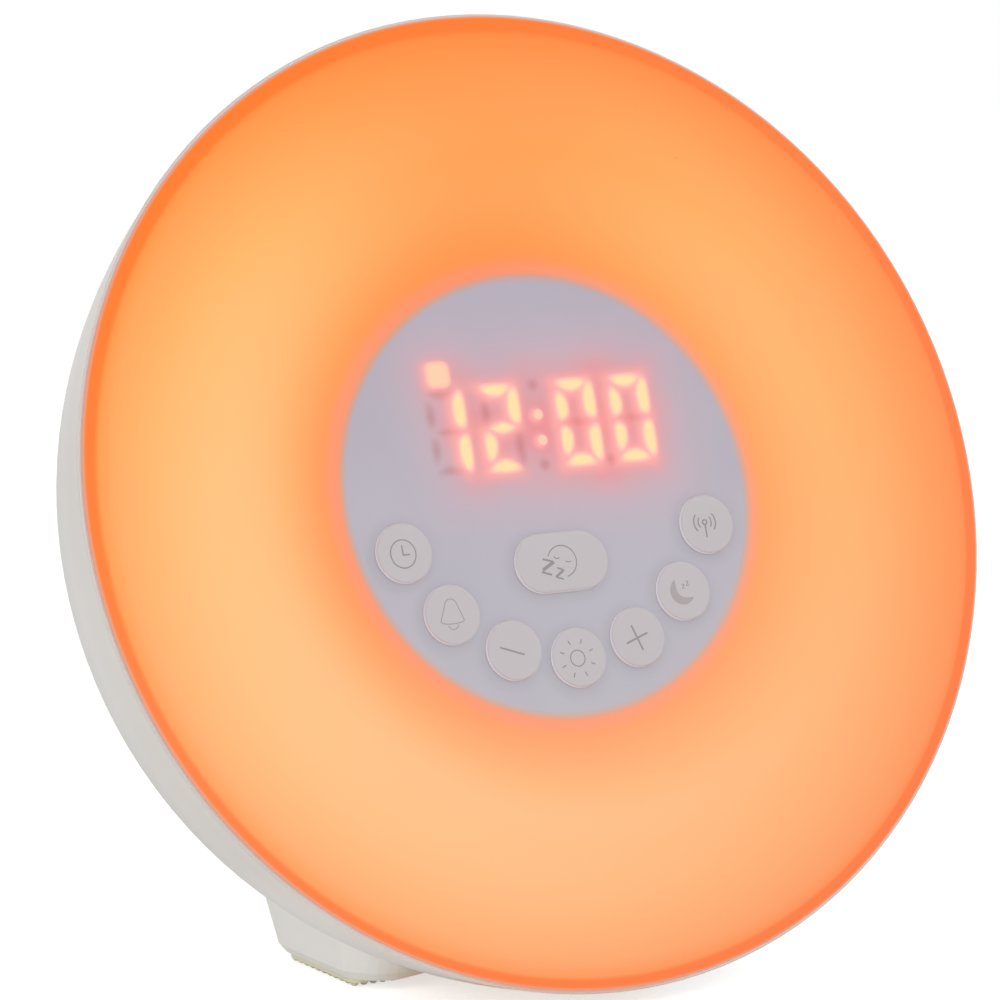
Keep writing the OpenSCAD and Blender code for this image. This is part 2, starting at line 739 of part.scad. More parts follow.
module cup_screws() color(steel) on_disc() at_angles(cup_screw_a, cup_screw_r)
    translate([0, 0, cup_back - cup_flange_t]) screw(5, 0.9, 1.9, 1.3);

module control_board_screws() color(steel) on_disc() for (p = board_posts) translate(p)
    translate([0, 0, board_z - board_t]) screw(6.4, 0.9, 2, 1.3);

module led_board_screws() color(steel) on_disc() at_angles(led_screw_a, led_screw_r)
    translate([0, 0, floor_z + led_t]) mirror([0, 0, 1]) screw(5.6, 0.9, 1.9, 1.2);

module main_board_screws() color(steel) on_disc() for (p = main_posts) translate(p)
    translate([0, 0, main_z]) mirror([0, 0, 1]) screw(7, 0.95, 2, 1.3);

module speaker_screws() color(steel) on_disc() translate([0, speaker_y])
    at_angles(speaker_screw_a, speaker_screw_r)
        translate([0, 0, speaker_z + 1.2]) mirror([0, 0, 1]) screw(1.5, 0.85, 2, 1.3);

// ---------------------------------------------------------------- wiring

header_y = main_y - 11;   // row of plug headers along the main board's foot
header_top = main_z + 5.2;    // wires end a hair above their plugs

// A pair of wires side by side along one route, level with each other where
// they leave their plug and splayed at their far end
module wire_pair(points, d, apart, splay = [0, 0, 0]) {
    last = len(points) - 1;
    for (s = [-1, 1]) wire(curve([for (i = [0:last])
        points[i] + s * ([apart[0], apart[1], i < 2 ? 0 : apart[2]] / 2
            + (i > last - 2 ? splay : [0, 0, 0]))]), d);
}

module display_ribbon() color([0.75, 0.75, 0.78]) on_disc()
    for (k = [-3:3]) wire(curve([[-2 + k * 0.9, header_y, header_top],
        [-2 + k * 0.9, header_y, header_top + 3], [-2 + k * 0.9, -31, -26],
        [-2 + k * 0.9, -26, -20], [-2 + k * 0.9, -24, board_z - board_t - 2],
        [-2 + k * 0.9, -24, board_z - board_t]], 3), 0.8, 6);

module led_leads() color([0.75, 0.12, 0.1]) on_disc()
    wire_pair([[-11, header_y, header_top], [-11, header_y, header_top + 3],
        [-14.5, -40.5, -29], [-15.9, -43.7, -24], [-16.2, -44.6, -21],
        [-17, -46.6, floor_z + led_t + 1.2], [-18.3, -50.3, floor_z + led_t + 0.5]], 0.9, [1.2, -0.4, 0]);

module speaker_leads() color([0.1, 0.1, 0.1]) on_disc()
    wire_pair([[7, header_y, header_top], [7, header_y, header_top + 3], [14, -28, -28.5],
        [17.5, -16, -32.5], [19, -4, -34.5], [19, 4, -42], [17.5, 10, -46.6],
        [14.1, 13.2, -46.4]], 0.9, [1.1, 0, 1.1], [-0.55, 0.8, -0.55]);

module battery_leads() color([0.1, 0.1, 0.5]) on_disc()
    wire_pair([[16, header_y, header_top], [16, header_y, header_top + 3],
        [25, -22, -29], [27.5, -5, -32], [27, -4, -37], [26.5, -4.6, -41],
        [24, -8.05, -43.5]], 0.9, [1.1, 0, 1.1]);

module dc_leads() color([0.6, 0.1, 0.1]) on_disc()
    wire_pair([[-20, header_y, header_top], [-20, header_y, header_top + 3],
        [-28, -33, -28], [-37, -20, -32], [-36, -6, -36], [-34, 2, -38.4], [-34, 2, -39.45]],
        0.9, [1.1, 0, 1.1], [1.85, 0, -0.55]);

front_lens();
rear_housing();
foot_pad();
control_cup();
reflector();
led_board();
led_chips();
display_module();
display_segments();
control_board();
switch_bodies();
snooze_key();
arc_key(0);  // set_clock_key
arc_key(1);  // alarm_key
arc_key(2);  // minus_key
arc_key(3);  // light_key
arc_key(4);  // plus_key
arc_key(5);  // sleep_key
arc_key(6);  // radio_key
snooze_plunger();
arc_plunger(0);  // set_clock_plunger
arc_plunger(1);  // alarm_plunger
arc_plunger(2);  // minus_plunger
arc_plunger(3);  // light_plunger
arc_plunger(4);  // plus_plunger
arc_plunger(5);  // sleep_plunger
arc_plunger(6);  // radio_plunger
main_board();
main_board_parts();
speaker_frame();
speaker_magnet();
speaker_cone();
speaker_gasket();
speaker_cloth();
speaker_washers();
dc_jack();
dc_jack_pin();
aerial_grommet();
battery_door();
backup_cells();
battery_contacts();
housing_screws();
cup_screws();
control_board_screws();
led_board_screws();
main_board_screws();
speaker_screws();
display_ribbon();
led_leads();
speaker_leads();
battery_leads();
dc_leads();
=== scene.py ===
# %% [markdown]
# # A sunrise alarm clock, dressed for its photograph
#
# The clock is a round lamp. A ring-shaped lens of opal plastic glows like a
# low sun, and the flat middle of that same moulding hides a red clock display
# and carries eight keys. Behind it sits a white bowl that leans back on its
# foot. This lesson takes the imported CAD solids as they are, models the lens,
# the keys and the sole anew, and gives every surface a finish. Lengths in the
# helpers are millimetres, and the meshes are in metres.

import json

import bpy
import numpy as np
from mathutils import Matrix, Vector


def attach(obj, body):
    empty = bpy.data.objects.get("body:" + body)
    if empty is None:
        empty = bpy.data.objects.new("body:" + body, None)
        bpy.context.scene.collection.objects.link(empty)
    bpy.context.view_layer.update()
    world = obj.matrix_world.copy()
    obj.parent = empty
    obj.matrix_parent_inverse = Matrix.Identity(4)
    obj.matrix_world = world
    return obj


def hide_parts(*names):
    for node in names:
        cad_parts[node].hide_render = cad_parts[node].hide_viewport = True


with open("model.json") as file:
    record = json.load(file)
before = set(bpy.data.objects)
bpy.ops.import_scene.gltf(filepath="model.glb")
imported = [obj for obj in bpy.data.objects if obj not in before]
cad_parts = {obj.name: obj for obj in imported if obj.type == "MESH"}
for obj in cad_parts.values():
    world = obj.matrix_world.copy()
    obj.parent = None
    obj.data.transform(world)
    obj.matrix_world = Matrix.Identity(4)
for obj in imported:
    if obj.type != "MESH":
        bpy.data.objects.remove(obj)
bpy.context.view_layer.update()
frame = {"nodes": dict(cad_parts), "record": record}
nodes = frame["nodes"]

# %% [markdown]
# ## Two frames
#
# Everything on the face is easiest to describe on the face itself: x to the
# right, y up the face, z out of it towards the sleeper, starting from the
# centre of the rim. The row frame has the foot's middle as its origin and +Z
# up. The face leans back by 18 degrees, so one turn about x and one shift
# carry the first frame into the second.

# %% From the face to the row frame
MM = 0.001
LEAN = np.radians(18.0)
RIM_BACK, RIM_HEIGHT = 27.3, 84.6


def face_to_row(points):
    """Turns points about x by the lean, so that up the face also means back, and lifts them to the
    rim's centre."""
    p = np.asarray(points, float)
    back = p[..., 1] * np.sin(LEAN) - p[..., 2] * np.cos(LEAN) - RIM_BACK
    up = p[..., 1] * np.cos(LEAN) + p[..., 2] * np.sin(LEAN) + RIM_HEIGHT
    return np.stack([p[..., 0], back, up], -1) * MM


print("rim centre in the row frame, m:", face_to_row([0, 0, 0]).round(4))

# %% [markdown]
# ## The camera
#
# A face that is a true circle turns into an ellipse in a photograph, and the
# ellipse's shape tells where the camera stood. Here it stood to the left, a
# little above the clock's middle, almost 0.77 m away with a long lens. The
# three rows are the camera's right, up and backward directions on the face.

# %% Camera
FOCAL_LENGTH, SENSOR_WIDTH = 162.0, 36.0
NEAREST, FARTHEST = 0.05, 20.0
CAMERA_AXES = np.array([
    [0.8835, -0.1694, 0.4368],
    [0.0804, 0.9733, 0.2150],
    [-0.4616, -0.1548, 0.8735],
])
CAMERA_PLACE = np.array([-362.1, -118.6, 666.8])


def new_object(name, data):
    """An object that holds the data and belongs to the scene."""
    thing = bpy.data.objects.new(name, data)
    bpy.context.scene.collection.objects.link(thing)
    return thing


def make_camera():
    """Stands the camera at its place and turns its axes into the row frame.

    QR splits the axes into an exactly square set and a triangle whose diagonal
    holds their signs, so that set times those signs keeps every direction."""
    data = bpy.data.cameras.new("view_camera")
    data.lens, data.sensor_width = FOCAL_LENGTH, SENSOR_WIDTH
    data.clip_start, data.clip_end = NEAREST, FARTHEST
    camera = new_object("view_camera", data)
    axes = (face_to_row(CAMERA_AXES) - face_to_row([0, 0, 0])) / MM
    square, triangle = np.linalg.qr(axes.T)
    matrix = np.eye(4)
    matrix[:3, :3] = square * np.sign(np.diag(triangle))
    matrix[:3, 3] = face_to_row(CAMERA_PLACE)
    camera.matrix_world = Matrix(matrix.tolist())
    bpy.context.scene.camera = camera
    return camera


camera = make_camera()
print("camera stands at, m:", [round(v, 4) for v in camera.matrix_world.translation])

# %% [markdown]
# ## Surfaces from arrays
#
# Most of the clock is turned: a profile carried round an axis. So the main
# helper takes a profile as two arrays, radius and height, and returns a closed
# grid of points. Where the profile touches the axis the whole row shrinks to
# one point and the faces there become triangles, which closes the pole.

# %% Mesh helpers


def new_mesh(name, points, faces):
    mesh = bpy.data.meshes.new(name)
    mesh.from_pydata(np.asarray(points).tolist(), [], [list(map(int, f)) for f in faces])
    return mesh


def add_mesh(name, points, faces, body="clock", smooth=True):
    """Puts points (in metres) and faces into a new object that rides on a body."""
    mesh = new_mesh(name, points, faces)
    mesh.validate()
    mesh.polygons.foreach_set("use_smooth", np.full(len(mesh.polygons), smooth))
    mesh.update()
    piece = new_object(name, mesh)
    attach(piece, body)
    return piece


def grid_faces(rows, turns, closed_rows=False):
    """Quads between neighbouring rows of a grid that closes on itself along each row."""
    last = rows if closed_rows else rows - 1
    i, j = np.meshgrid(np.arange(last), np.arange(turns), indexing="ij")
    i2, j2 = (i + 1) % rows, (j + 1) % turns
    quads = np.stack([i * turns + j, i2 * turns + j, i2 * turns + j2, i * turns + j2], -1)
    return quads.reshape(-1, 4)


def turned(radius, height, turns):
    """A profile (radius, height) carried once round the face's axis.

    Row k is the circle x = r cos a, y = r sin a at its height, or one point if
    it is the first or last and its radius is 0."""
    radius, height = np.asarray(radius, float), np.asarray(height, float)
    a = (np.arange(turns) + 0.5) * 2 * np.pi / turns
    first, last = int(radius[0] < 1e-9), int(radius[-1] < 1e-9)
    r, h = radius[first:len(radius) - last], height[first:len(height) - last]
    grid = np.stack([r[:, None] * np.cos(a), r[:, None] * np.sin(a),
                     np.repeat(h[:, None], turns, 1)], -1).reshape(-1, 3)
    faces = grid_faces(len(r), turns).tolist()
    j = np.arange(turns)
    if first:
        pole = len(grid)
        grid = np.vstack([grid, [[0, 0, height[0]]]])
        faces += np.stack([np.full(turns, pole), j, (j + 1) % turns], -1).tolist()
    if last:
        pole, row = len(grid), (len(r) - 1) * turns
        grid = np.vstack([grid, [[0, 0, height[-1]]]])
        faces += np.stack([np.full(turns, pole), row + (j + 1) % turns, row + j], -1).tolist()
    return grid, faces


def joined(shapes):
    """Several shapes, each its points and its faces, made one: each shape's faces count on from the last."""
    points = [own_points for own_points, _ in shapes]
    starts = np.cumsum([0] + [len(own_points) for own_points in points])
    faces = [[i + int(start) for i in face] for (_, own), start in zip(shapes, starts) for face in own]
    return np.vstack(points), faces


def set_attribute(piece, name, *values):
    """Stores one number, or a vector of three, per point under a name that a material can read."""
    kind, field = ("FLOAT", "value") if len(values) == 1 else ("FLOAT_VECTOR", "vector")
    attribute = piece.data.attributes.new(name, kind, "POINT")
    attribute.data.foreach_set(field, np.stack(values, -1).astype(np.float32).ravel())


def face_coordinates(piece):
    """The piece's points brought back from the row frame onto the face, in millimetres."""
    co = np.zeros(len(piece.data.vertices) * 3)
    piece.data.vertices.foreach_get("co", co)
    p = co.reshape(-1, 3) / MM - [0, -RIM_BACK, RIM_HEIGHT]
    along = p[:, 1] * np.sin(LEAN) + p[:, 2] * np.cos(LEAN)
    out = -p[:, 1] * np.cos(LEAN) + p[:, 2] * np.sin(LEAN)
    return np.stack([p[:, 0], along, out], -1)


def smooth_step(low, high, value):
    """0 below low, 1 above high, and a soft cubic ramp between."""
    t = np.clip((value - low) / (high - low), 0, 1)
    return t * t * (3 - 2 * t)


print("helpers ready")

# %% [markdown]
# ## Node helpers
#
# Materials are graphs, and writing a graph in code is mostly adding a node and
# joining its sockets. `Graph` does both in one call: an input that is given a
# socket is linked to it, and one that is given a value is set.

# %% Node helpers


class Graph:
    """Adds nodes to one node tree and feeds their inputs."""

    def __init__(self, tree):
        self.tree = tree

    def feed(self, socket, value):
        if isinstance(value, bpy.types.NodeSocket):
            self.tree.links.new(value, socket)
        else:
            socket.default_value = value

    def add(self, kind, inputs=None, **settings):
        node = self.tree.nodes.new("ShaderNode" + kind)
        for key, value in settings.items():
            setattr(node, key, value)
        for key, value in (inputs or {}).items():
            self.feed(node.inputs[key], value)
        return node

    def surface(self, values):
        """Feeds inputs of the material's Principled shader."""
        for key, value in values.items():
            self.feed(self.shader.inputs[key], value)

    def maths(self, operation, *values):
        return self.add("Math", dict(enumerate(values)), operation=operation).outputs[0]

    def mix(self, share, under, over, blend="MIX"):
        """One colour laid over another by a share."""
        inputs = {0: share, 6: under, 7: over}
        return self.add("Mix", inputs, data_type="RGBA", blend_type=blend).outputs[2]

    def scaled(self, colour, factor):
        return self.add("VectorMath", {0: colour, "Scale": factor}, operation="SCALE").outputs[0]

    def shifted(self, colour, amount, step):
        """The colour plus the amount times a fixed step."""
        inputs = {0: amount, 1: step, 2: colour}
        return self.add("VectorMath", inputs, operation="MULTIPLY_ADD").outputs[0]

    def soft_step(self, value, none, full, most=1.0):
        """A soft cubic ramp, from 0 where the value is none to the most where it is full."""
        inputs = {"Value": value, "From Min": none, "From Max": full, "To Max": most}
        return self.add("MapRange", inputs, interpolation_type="SMOOTHSTEP").outputs[0]

    def ramp(self, share, stops):
        """Colours along the share: each stop is a place from 0 to 1 and a colour."""
        node = self.add("ValToRGB", {0: share})
        elements = node.color_ramp.elements
        while len(elements) < len(stops):
            elements.new(0.5)
        for element, (place, colour) in zip(elements, stops):
            element.position, element.color = place, colour
        return node.outputs[0]


def tint(red, green, blue):
    """A colour as a screen shows it, 0 to 255 per channel, turned into the linear light of the nodes."""
    s = np.array([red, green, blue]) / 255
    linear = np.where(s <= 0.04045, s / 12.92, ((s + 0.055) / 1.055) ** 2.4)
    return (*[float(v) for v in linear], 1.0)


def new_group(name, inputs, outputs):
    """A shader node group with named sockets. Inputs are (name, kind, default) and outputs (name, kind)."""
    tree = bpy.data.node_groups.new(name, "ShaderNodeTree")
    for label, kind, default in inputs:
        socket = tree.interface.new_socket(label, in_out="INPUT", socket_type="NodeSocket" + kind)
        socket.default_value = default
    for label, kind in outputs:
        tree.interface.new_socket(label, in_out="OUTPUT", socket_type="NodeSocket" + kind)
    graph = Graph(tree)
    graph.into = tree.nodes.new("NodeGroupInput").outputs
    graph.out = tree.nodes.new("NodeGroupOutput").inputs
    return tree, graph


def new_material(name):
    """The graph of an empty material, with its Principled shader joined to the output."""
    material = bpy.data.materials.new(name)
    material.use_nodes = True
    material.node_tree.nodes.clear()
    graph = Graph(material.node_tree)
    graph.material, graph.shader = material, graph.add("BsdfPrincipled")
    graph.add("OutputMaterial", {0: graph.shader.outputs[0]})
    return graph


print("node helpers ready")

# %% [markdown]
# ## Shared effects
#
# A spark-eroded mould leaves plastic with a fine, even grain, and handling
# leaves it with very slight changes of tone and a few specks of dust. These
# effects read Object coordinates, which on this clock are metres in the row
# frame, so a scale of 2500 gives grains of about 0.4 mm.

# %% Effect groups
TONE_SCALE, GLOSS_SWING, SPECK_THRESHOLD, METAL_GRAIN = 38.0, 0.12, 0.93, 1800
MICRON = 0.000001


def moulded_grain_group():
    """Height: fine noise. Gloss: the same noise, as a small change of roughness. Colour: the colour
    given, which broad noise lightens and darkens a little."""
    tree, g = new_group("moulded_grain", [
        ("Colour", "Color", (0.8, 0.8, 0.8, 1)), ("Grain Scale", "Float", 2500.0),
        ("Tone Depth", "Float", 0.03)], [("Colour", "Color"), ("Height", "Float"), ("Gloss", "Float")])
    place = g.add("TexCoord").outputs["Object"]
    fine = g.add("TexNoise", {"Vector": place, "Scale": g.into["Grain Scale"], "Detail": 3.0}).outputs[0]
    broad = g.add("TexNoise", {"Vector": place, "Scale": TONE_SCALE, "Detail": 2.0}).outputs[0]
    swing = g.maths("MULTIPLY", g.maths("SUBTRACT", broad, 0.5), g.into["Tone Depth"])
    level = g.maths("ADD", 1.0, g.maths("MULTIPLY", swing, 2.0))
    g.feed(g.out["Colour"], g.scaled(g.into["Colour"], level))
    g.feed(g.out["Height"], fine)
    g.feed(g.out["Gloss"], g.maths("MULTIPLY", g.maths("SUBTRACT", fine, 0.5), GLOSS_SWING))
    return tree


def dust_group():
    """Mask: small scattered specks, each the middle of a cell whose random value is high."""
    tree, g = new_group("dust", [("Scale", "Float", 90.0), ("Size", "Float", 0.05)], [("Mask", "Float")])
    place = g.add("TexCoord").outputs["Object"]
    cells = g.add("TexVoronoi", {"Vector": place, "Scale": g.into["Scale"]}).outputs
    near = g.maths("LESS_THAN", cells["Distance"], g.into["Size"])
    random = g.add("SeparateColor", {0: cells["Color"]}).outputs[0]
    g.feed(g.out["Mask"], g.maths("MULTIPLY", near, g.maths("GREATER_THAN", random, SPECK_THRESHOLD)))
    return tree


GRAIN, DUST = moulded_grain_group(), dust_group()
print("effect groups:", GRAIN.name, DUST.name)


def plastic_graph(name, colour, roughness, grain, bump, tone, specular=0.5):
    """A moulded plastic, its colour given as on a screen and its bump in micrometres: the grain group
    colours it, roughens it and gives its bump."""
    g = new_material(name)
    inputs = {"Colour": tint(*colour), "Grain Scale": grain, "Tone Depth": tone}
    group = g.add("Group", inputs, node_tree=GRAIN).outputs
    bumps = g.add("Bump", {"Height": group["Height"], "Strength": 0.5, "Distance": bump * MICRON})
    g.surface({"Base Color": group["Colour"], "Roughness": g.maths("ADD", group["Gloss"], roughness),
               "Normal": bumps.outputs[0], "Specular IOR Level": specular})
    return g


def plastic(*look):
    """The material of a moulded plastic that needs nothing more."""
    return plastic_graph(*look).material


def metal(name, colour, roughness):
    """A plated metal: the same grain drives its roughness and a faint bump, with Metallic at 1."""
    g = plastic_graph(name, colour, roughness, METAL_GRAIN, 6, 0.05)
    g.surface({"Metallic": 1.0})
    return g.material


# %% [markdown]
# ## The lens
#
# Lens and window are one opal moulding. Its front face is flat in the middle,
# rises as half a cosine wave to a crest, then falls away as a parabola to the
# rim, which gives the soft tyre-like ring. A sculpted mesh could copy this by
# eye, but the profile is two short formulas, so it is turned. Rows of points
# are packed closely in the window, because the display's glow is stored on
# them, and along the rim, for the dull line there. At the back a skirt seats
# in the bowl, and inside it the back follows the face, a wall's width behind.

# %% Lens profile
WINDOW_Z, WINDOW_R, CREST_R, CREST_Z, LENS_R = -1.4, 37.5, 62.0, 6.5, 85.0
SKIRT_OUTER_R, SKIRT_INNER_R, LENS_WALL = 83.6, 82.0, 2.4
RIM_BACK_Z, SKIRT_END_Z, SKIRT_ROOT_Z = -1.2, -5.0, -0.82
RIM_BAND, LENS_TURNS = 4.0, 400
WINDOW_ROWS, RING_ROWS, RIM_ROWS = 140, 50, 21


def lens_height(r):
    """Height of the lens's face: flat, then half a cosine wave up to the crest, then a parabola down to
    the rim."""
    r = np.asarray(r, float)
    wave = (1 - np.cos(np.pi * (r - WINDOW_R) / (CREST_R - WINDOW_R))) / 2
    rise = WINDOW_Z + (CREST_Z - WINDOW_Z) * wave
    fall = CREST_Z * (1 - ((r - CREST_R) / (LENS_R - CREST_R)) ** 2)
    return np.where(r <= WINDOW_R, WINDOW_Z, np.where(r < CREST_R, rise, fall))


front_r = np.concatenate([np.linspace(0, WINDOW_R, WINDOW_ROWS),
                          np.linspace(WINDOW_R, LENS_R - RIM_BAND, RING_ROWS)[1:],
                          np.linspace(LENS_R - RIM_BAND, LENS_R, RIM_ROWS)[1:]])
skirt_r = [LENS_R, SKIRT_OUTER_R, SKIRT_OUTER_R, SKIRT_INNER_R, SKIRT_INNER_R]
skirt_z = [RIM_BACK_Z, RIM_BACK_Z, SKIRT_END_Z, SKIRT_END_Z, SKIRT_ROOT_Z]
inside_r = np.array([74.0, 66.0, 60.0, 52.0, 45.0, 38.0, 20.0, 0.0])
lens_points, lens_faces = turned(
    np.concatenate([front_r, skirt_r, inside_r]),
    np.concatenate([lens_height(front_r), skirt_z, lens_height(inside_r) - LENS_WALL]), LENS_TURNS)
lens = add_mesh("opal_lens", face_to_row(lens_points), lens_faces)
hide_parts("front_lens")
print("lens points:", len(lens_points), "faces:", len(lens_faces))

# %% [markdown]
# ## The key layout
#
# Seven round keys stand on an arc that is centred a little above the middle of
# the face, and the wide snooze key sits alone above them. Their holes are cut
# with a Boolean modifier, as a drill would, from cutters that are turned and
# stretched like the keys but a hair larger.

# %% Where the keys stand
KEY_R, SNOOZE_HALF, KEY_GAP = 5.2, 3.75, 0.03
KEY_ARC_R, KEY_ARC_X, KEY_ARC_Y = 31.2, 0.57, 2.7
SNOOZE_X, SNOOZE_Y = KEY_ARC_X - 0.1, -11.82
CUTTER_TOP, CUTTER_LOW = 1, -8
KEY_ANGLES = {"set_clock": -70.4, "alarm": -46.0, "minus": -22.6, "light": 0.0,
              "plus": 22.6, "sleep": 46.0, "radio": 70.4}
KEY_PLACES = {name: (KEY_ARC_X + KEY_ARC_R * np.sin(np.radians(a)),
                     KEY_ARC_Y - KEY_ARC_R * np.cos(np.radians(a))) for name, a in KEY_ANGLES.items()}
KEY_PLACES["snooze"] = (SNOOZE_X, SNOOZE_Y)
KEY_STRETCH = {name: SNOOZE_HALF if name == "snooze" else 0.0 for name in KEY_PLACES}


def stretched(points, half):
    """Splits a turned shape at x = 0 and moves its halves apart by half, which makes a pill of a disc."""
    p = np.array(points, float)
    p[:, 0] += half * np.sign(np.round(p[:, 0], 6))
    return p


def key_cutter(place, half):
    """A plain cylinder or pill, a gap wider than its key, that reaches through the window."""
    radius = KEY_R + KEY_GAP
    points, faces = turned([0, radius, radius, 0], [CUTTER_TOP, CUTTER_TOP, CUTTER_LOW, CUTTER_LOW], 64)
    return face_to_row(stretched(points, half) + [*place, 0]), faces


print("keys:", {k: tuple(round(float(v), 2) for v in p) for k, p in KEY_PLACES.items()})

# %% Drilling the lens
cutter = add_mesh("key_cutter", *joined([key_cutter(place, KEY_STRETCH[name])
                                         for name, place in KEY_PLACES.items()]))
drill = lens.modifiers.new("key_holes", "BOOLEAN")
drill.operation, drill.solver, drill.object = "DIFFERENCE", "MANIFOLD", cutter
whole = len(lens.data.polygons)
drilled = bpy.data.meshes.new_from_object(lens.evaluated_get(bpy.context.evaluated_depsgraph_get()))
lens.modifiers.clear()
lens.data = drilled
bpy.data.objects.remove(cutter)
lens.data.set_sharp_from_angle(angle=np.radians(35))
print("lens faces before and after drilling:", whole, len(lens.data.polygons))

# %% [markdown]
# ## The display's glow
#
# The bars of the display lie just behind the opal window, so they show as soft
# yellow bars, each in a peach rim and a pink bloom. Real light scattering would
# be slow and noisy to render, so the bloom is worked out once: for each point
# of the window, the distance to every bar. Near a bar it gives the yellow and
# the peach, a little further the bloom, and all the bars together, added up,
# give the pink haze. The bloom lies a little left of the bars and below them,
# because the camera looks into the window's depth from there.

# %% Bars of the digits
DIGIT_X = (-16.59, -6.09, 8.69, 19.31)
ROW_Y = (5.66, 12.28, 18.86)
BAR_HALF_X, UPRIGHT_HALF_W, LEVEL_HALF_W = 2.73, 0.62, 0.56
LEVEL_HALF, UPRIGHT_CUT, UPRIGHT_TILT = 2.0, 1.07, 0.023
OUTER_SLOPE, OUTER_POINT, INNER_SLOPE, LEVEL_SLOPE, SLOPE_REACH = 0.6, 0.2, 0.3, 0.8, 0.8
OUTER_STRETCH, LEVEL_STRETCH, POINT_SHRINK = 1.17, 1.2, 0.7
LIT = ("bc", "abged", "abcdef", "abcdef")
COLON = ((1.12, 14.12), (1.12, 9.6))
DARK_DOTS = ((1.0, 19.3), (0.7, 5.3), (13.7, 5.2))
DOT_SHARPNESS, DOT_R, DOT_NEAREST, DARK_DOT_R = 1.75, 0.9, 0.45, 0.6
INDICATOR_X, INDICATOR_Y, INDICATOR_HALF, INDICATOR_CORNER = -16.75, 22.32, 2.3, 1.35
SOFTNESS = 0.7


def digit_bars(x0):
    """The seven bars of one digit, by their usual letters: centre, half length, upright or not, the
    side (-1, 0 or 1) on which the slanted ends leave the bar longer, and the end (-1 or 1) that
    points away from the digit's middle.

    The small steps are the display's own: its bars aren't all of one length, nor quite in line."""
    low, middle, high = ROW_Y
    up, down = (high + middle) / 2, (middle + low) / 2
    left, right = x0 - BAR_HALF_X, x0 + BAR_HALF_X
    wide, tall = LEVEL_HALF, (high - low) / 4 - UPRIGHT_CUT
    return {
        "a": ((x0 - 0.3, high), wide, False, 1, 0),
        "g": ((x0, middle), wide - 0.15, False, 0, 0),
        "d": ((x0 - 0.7, low), wide, False, -1, 0),
        "f": ((left, up - 0.3), tall - 0.3, True, -1, 1),
        "b": ((right, up + 0.42), tall + 0.4, True, 1, 1),
        "e": ((left, down + 0.25), tall - 0.3, True, -1, -1),
        "c": ((right, down - 0.42), tall + 0.38, True, 1, -1),
    }


def bar_distance(x, y, centre, half, upright, long_side, outer_end):
    """Soft signed distance to a bar: the log of the sum of e to the distance past its long sides and
    e to the distance past its ends, which is close to the larger of both but has no corner.

    An end's line slopes with the place across the bar, except that the middle bar's ends come to a
    point. Its slope stretches the distance past it, which the last factor takes back."""
    rightward, upward = x - centre[0], y - centre[1]
    along, across = (upward, rightward - UPRIGHT_TILT * upward) if upright else (rightward, upward)
    side = np.abs(across) - (UPRIGHT_HALF_W if upright else LEVEL_HALF_W)
    lean = long_side * np.clip(across, -SLOPE_REACH, SLOPE_REACH)
    if upright:
        outer = along * outer_end - OUTER_SLOPE * lean + OUTER_POINT * np.abs(across) - half
        ends = np.maximum(outer / OUTER_STRETCH, -along * outer_end - INNER_SLOPE * lean - half)
    elif long_side:
        ends = (np.abs(along) - LEVEL_SLOPE * lean - half) / LEVEL_STRETCH
    else:
        ends = (np.abs(along) + np.abs(across) - half) * POINT_SHRINK
    return SOFTNESS * np.logaddexp(side / SOFTNESS, ends / SOFTNESS)


def display_distances(x, y):
    """Distances to each lit bar and dot, to the indicator block, and to the nearest dark bar or dot.

    A lit dot's distance grows faster than a bar's, and never comes near enough for the full yellow."""
    lit, dark = [], []
    for x0, names in zip(DIGIT_X, LIT):
        for letter, bar in digit_bars(x0).items():
            (lit if letter in names else dark).append(bar_distance(x, y, *bar))
    lit += [np.maximum(DOT_SHARPNESS * np.hypot(x - cx, y - cy) - DOT_R, DOT_NEAREST) for cx, cy in COLON]
    dark += [np.hypot(x - cx, y - cy) - DARK_DOT_R for cx, cy in DARK_DOTS]
    inner = INDICATOR_HALF - INDICATOR_CORNER
    block = np.hypot(np.maximum(np.abs(x - INDICATOR_X) - inner, 0),
                     np.maximum(np.abs(y - INDICATOR_Y) - inner, 0)) - INDICATOR_CORNER
    return np.array(lit), block, np.min(dark, 0)


print("bars per digit:", len(digit_bars(0)), "lit bars:", sum(len(names) for names in LIT))

# %% [markdown]
# Each glow is one short formula of those distances. Beside them stand the
# lamps' own light round the ring and the keys' soft shade on the window.

# %% Glow of the display, the lamps and the keys' shade
BLOOM_SHIFT = (0.53, 0.19)
BLOOM_REACH, BLOOM_POWER, BLOOM_MOST, BLOCK_STEP = 1.52, 2.06, 0.999, 1.0
HAZE_REACH, HAZE_POWER, HAZE_GAIN = 3.85, 1.2, 0.345
HILL_R, HILL_LEVEL, PAN_R, PAN_SOFTNESS, STRIP_LEVEL = 57, 0.7155, 82.5, 0.45, 0.484
DIM_ANGLE, DIM_R, PAN_ANGLE = 96, 59.5, 45
SHADE_SHIFT, SHADE_REACH = (0.7, 0.5), 1.3


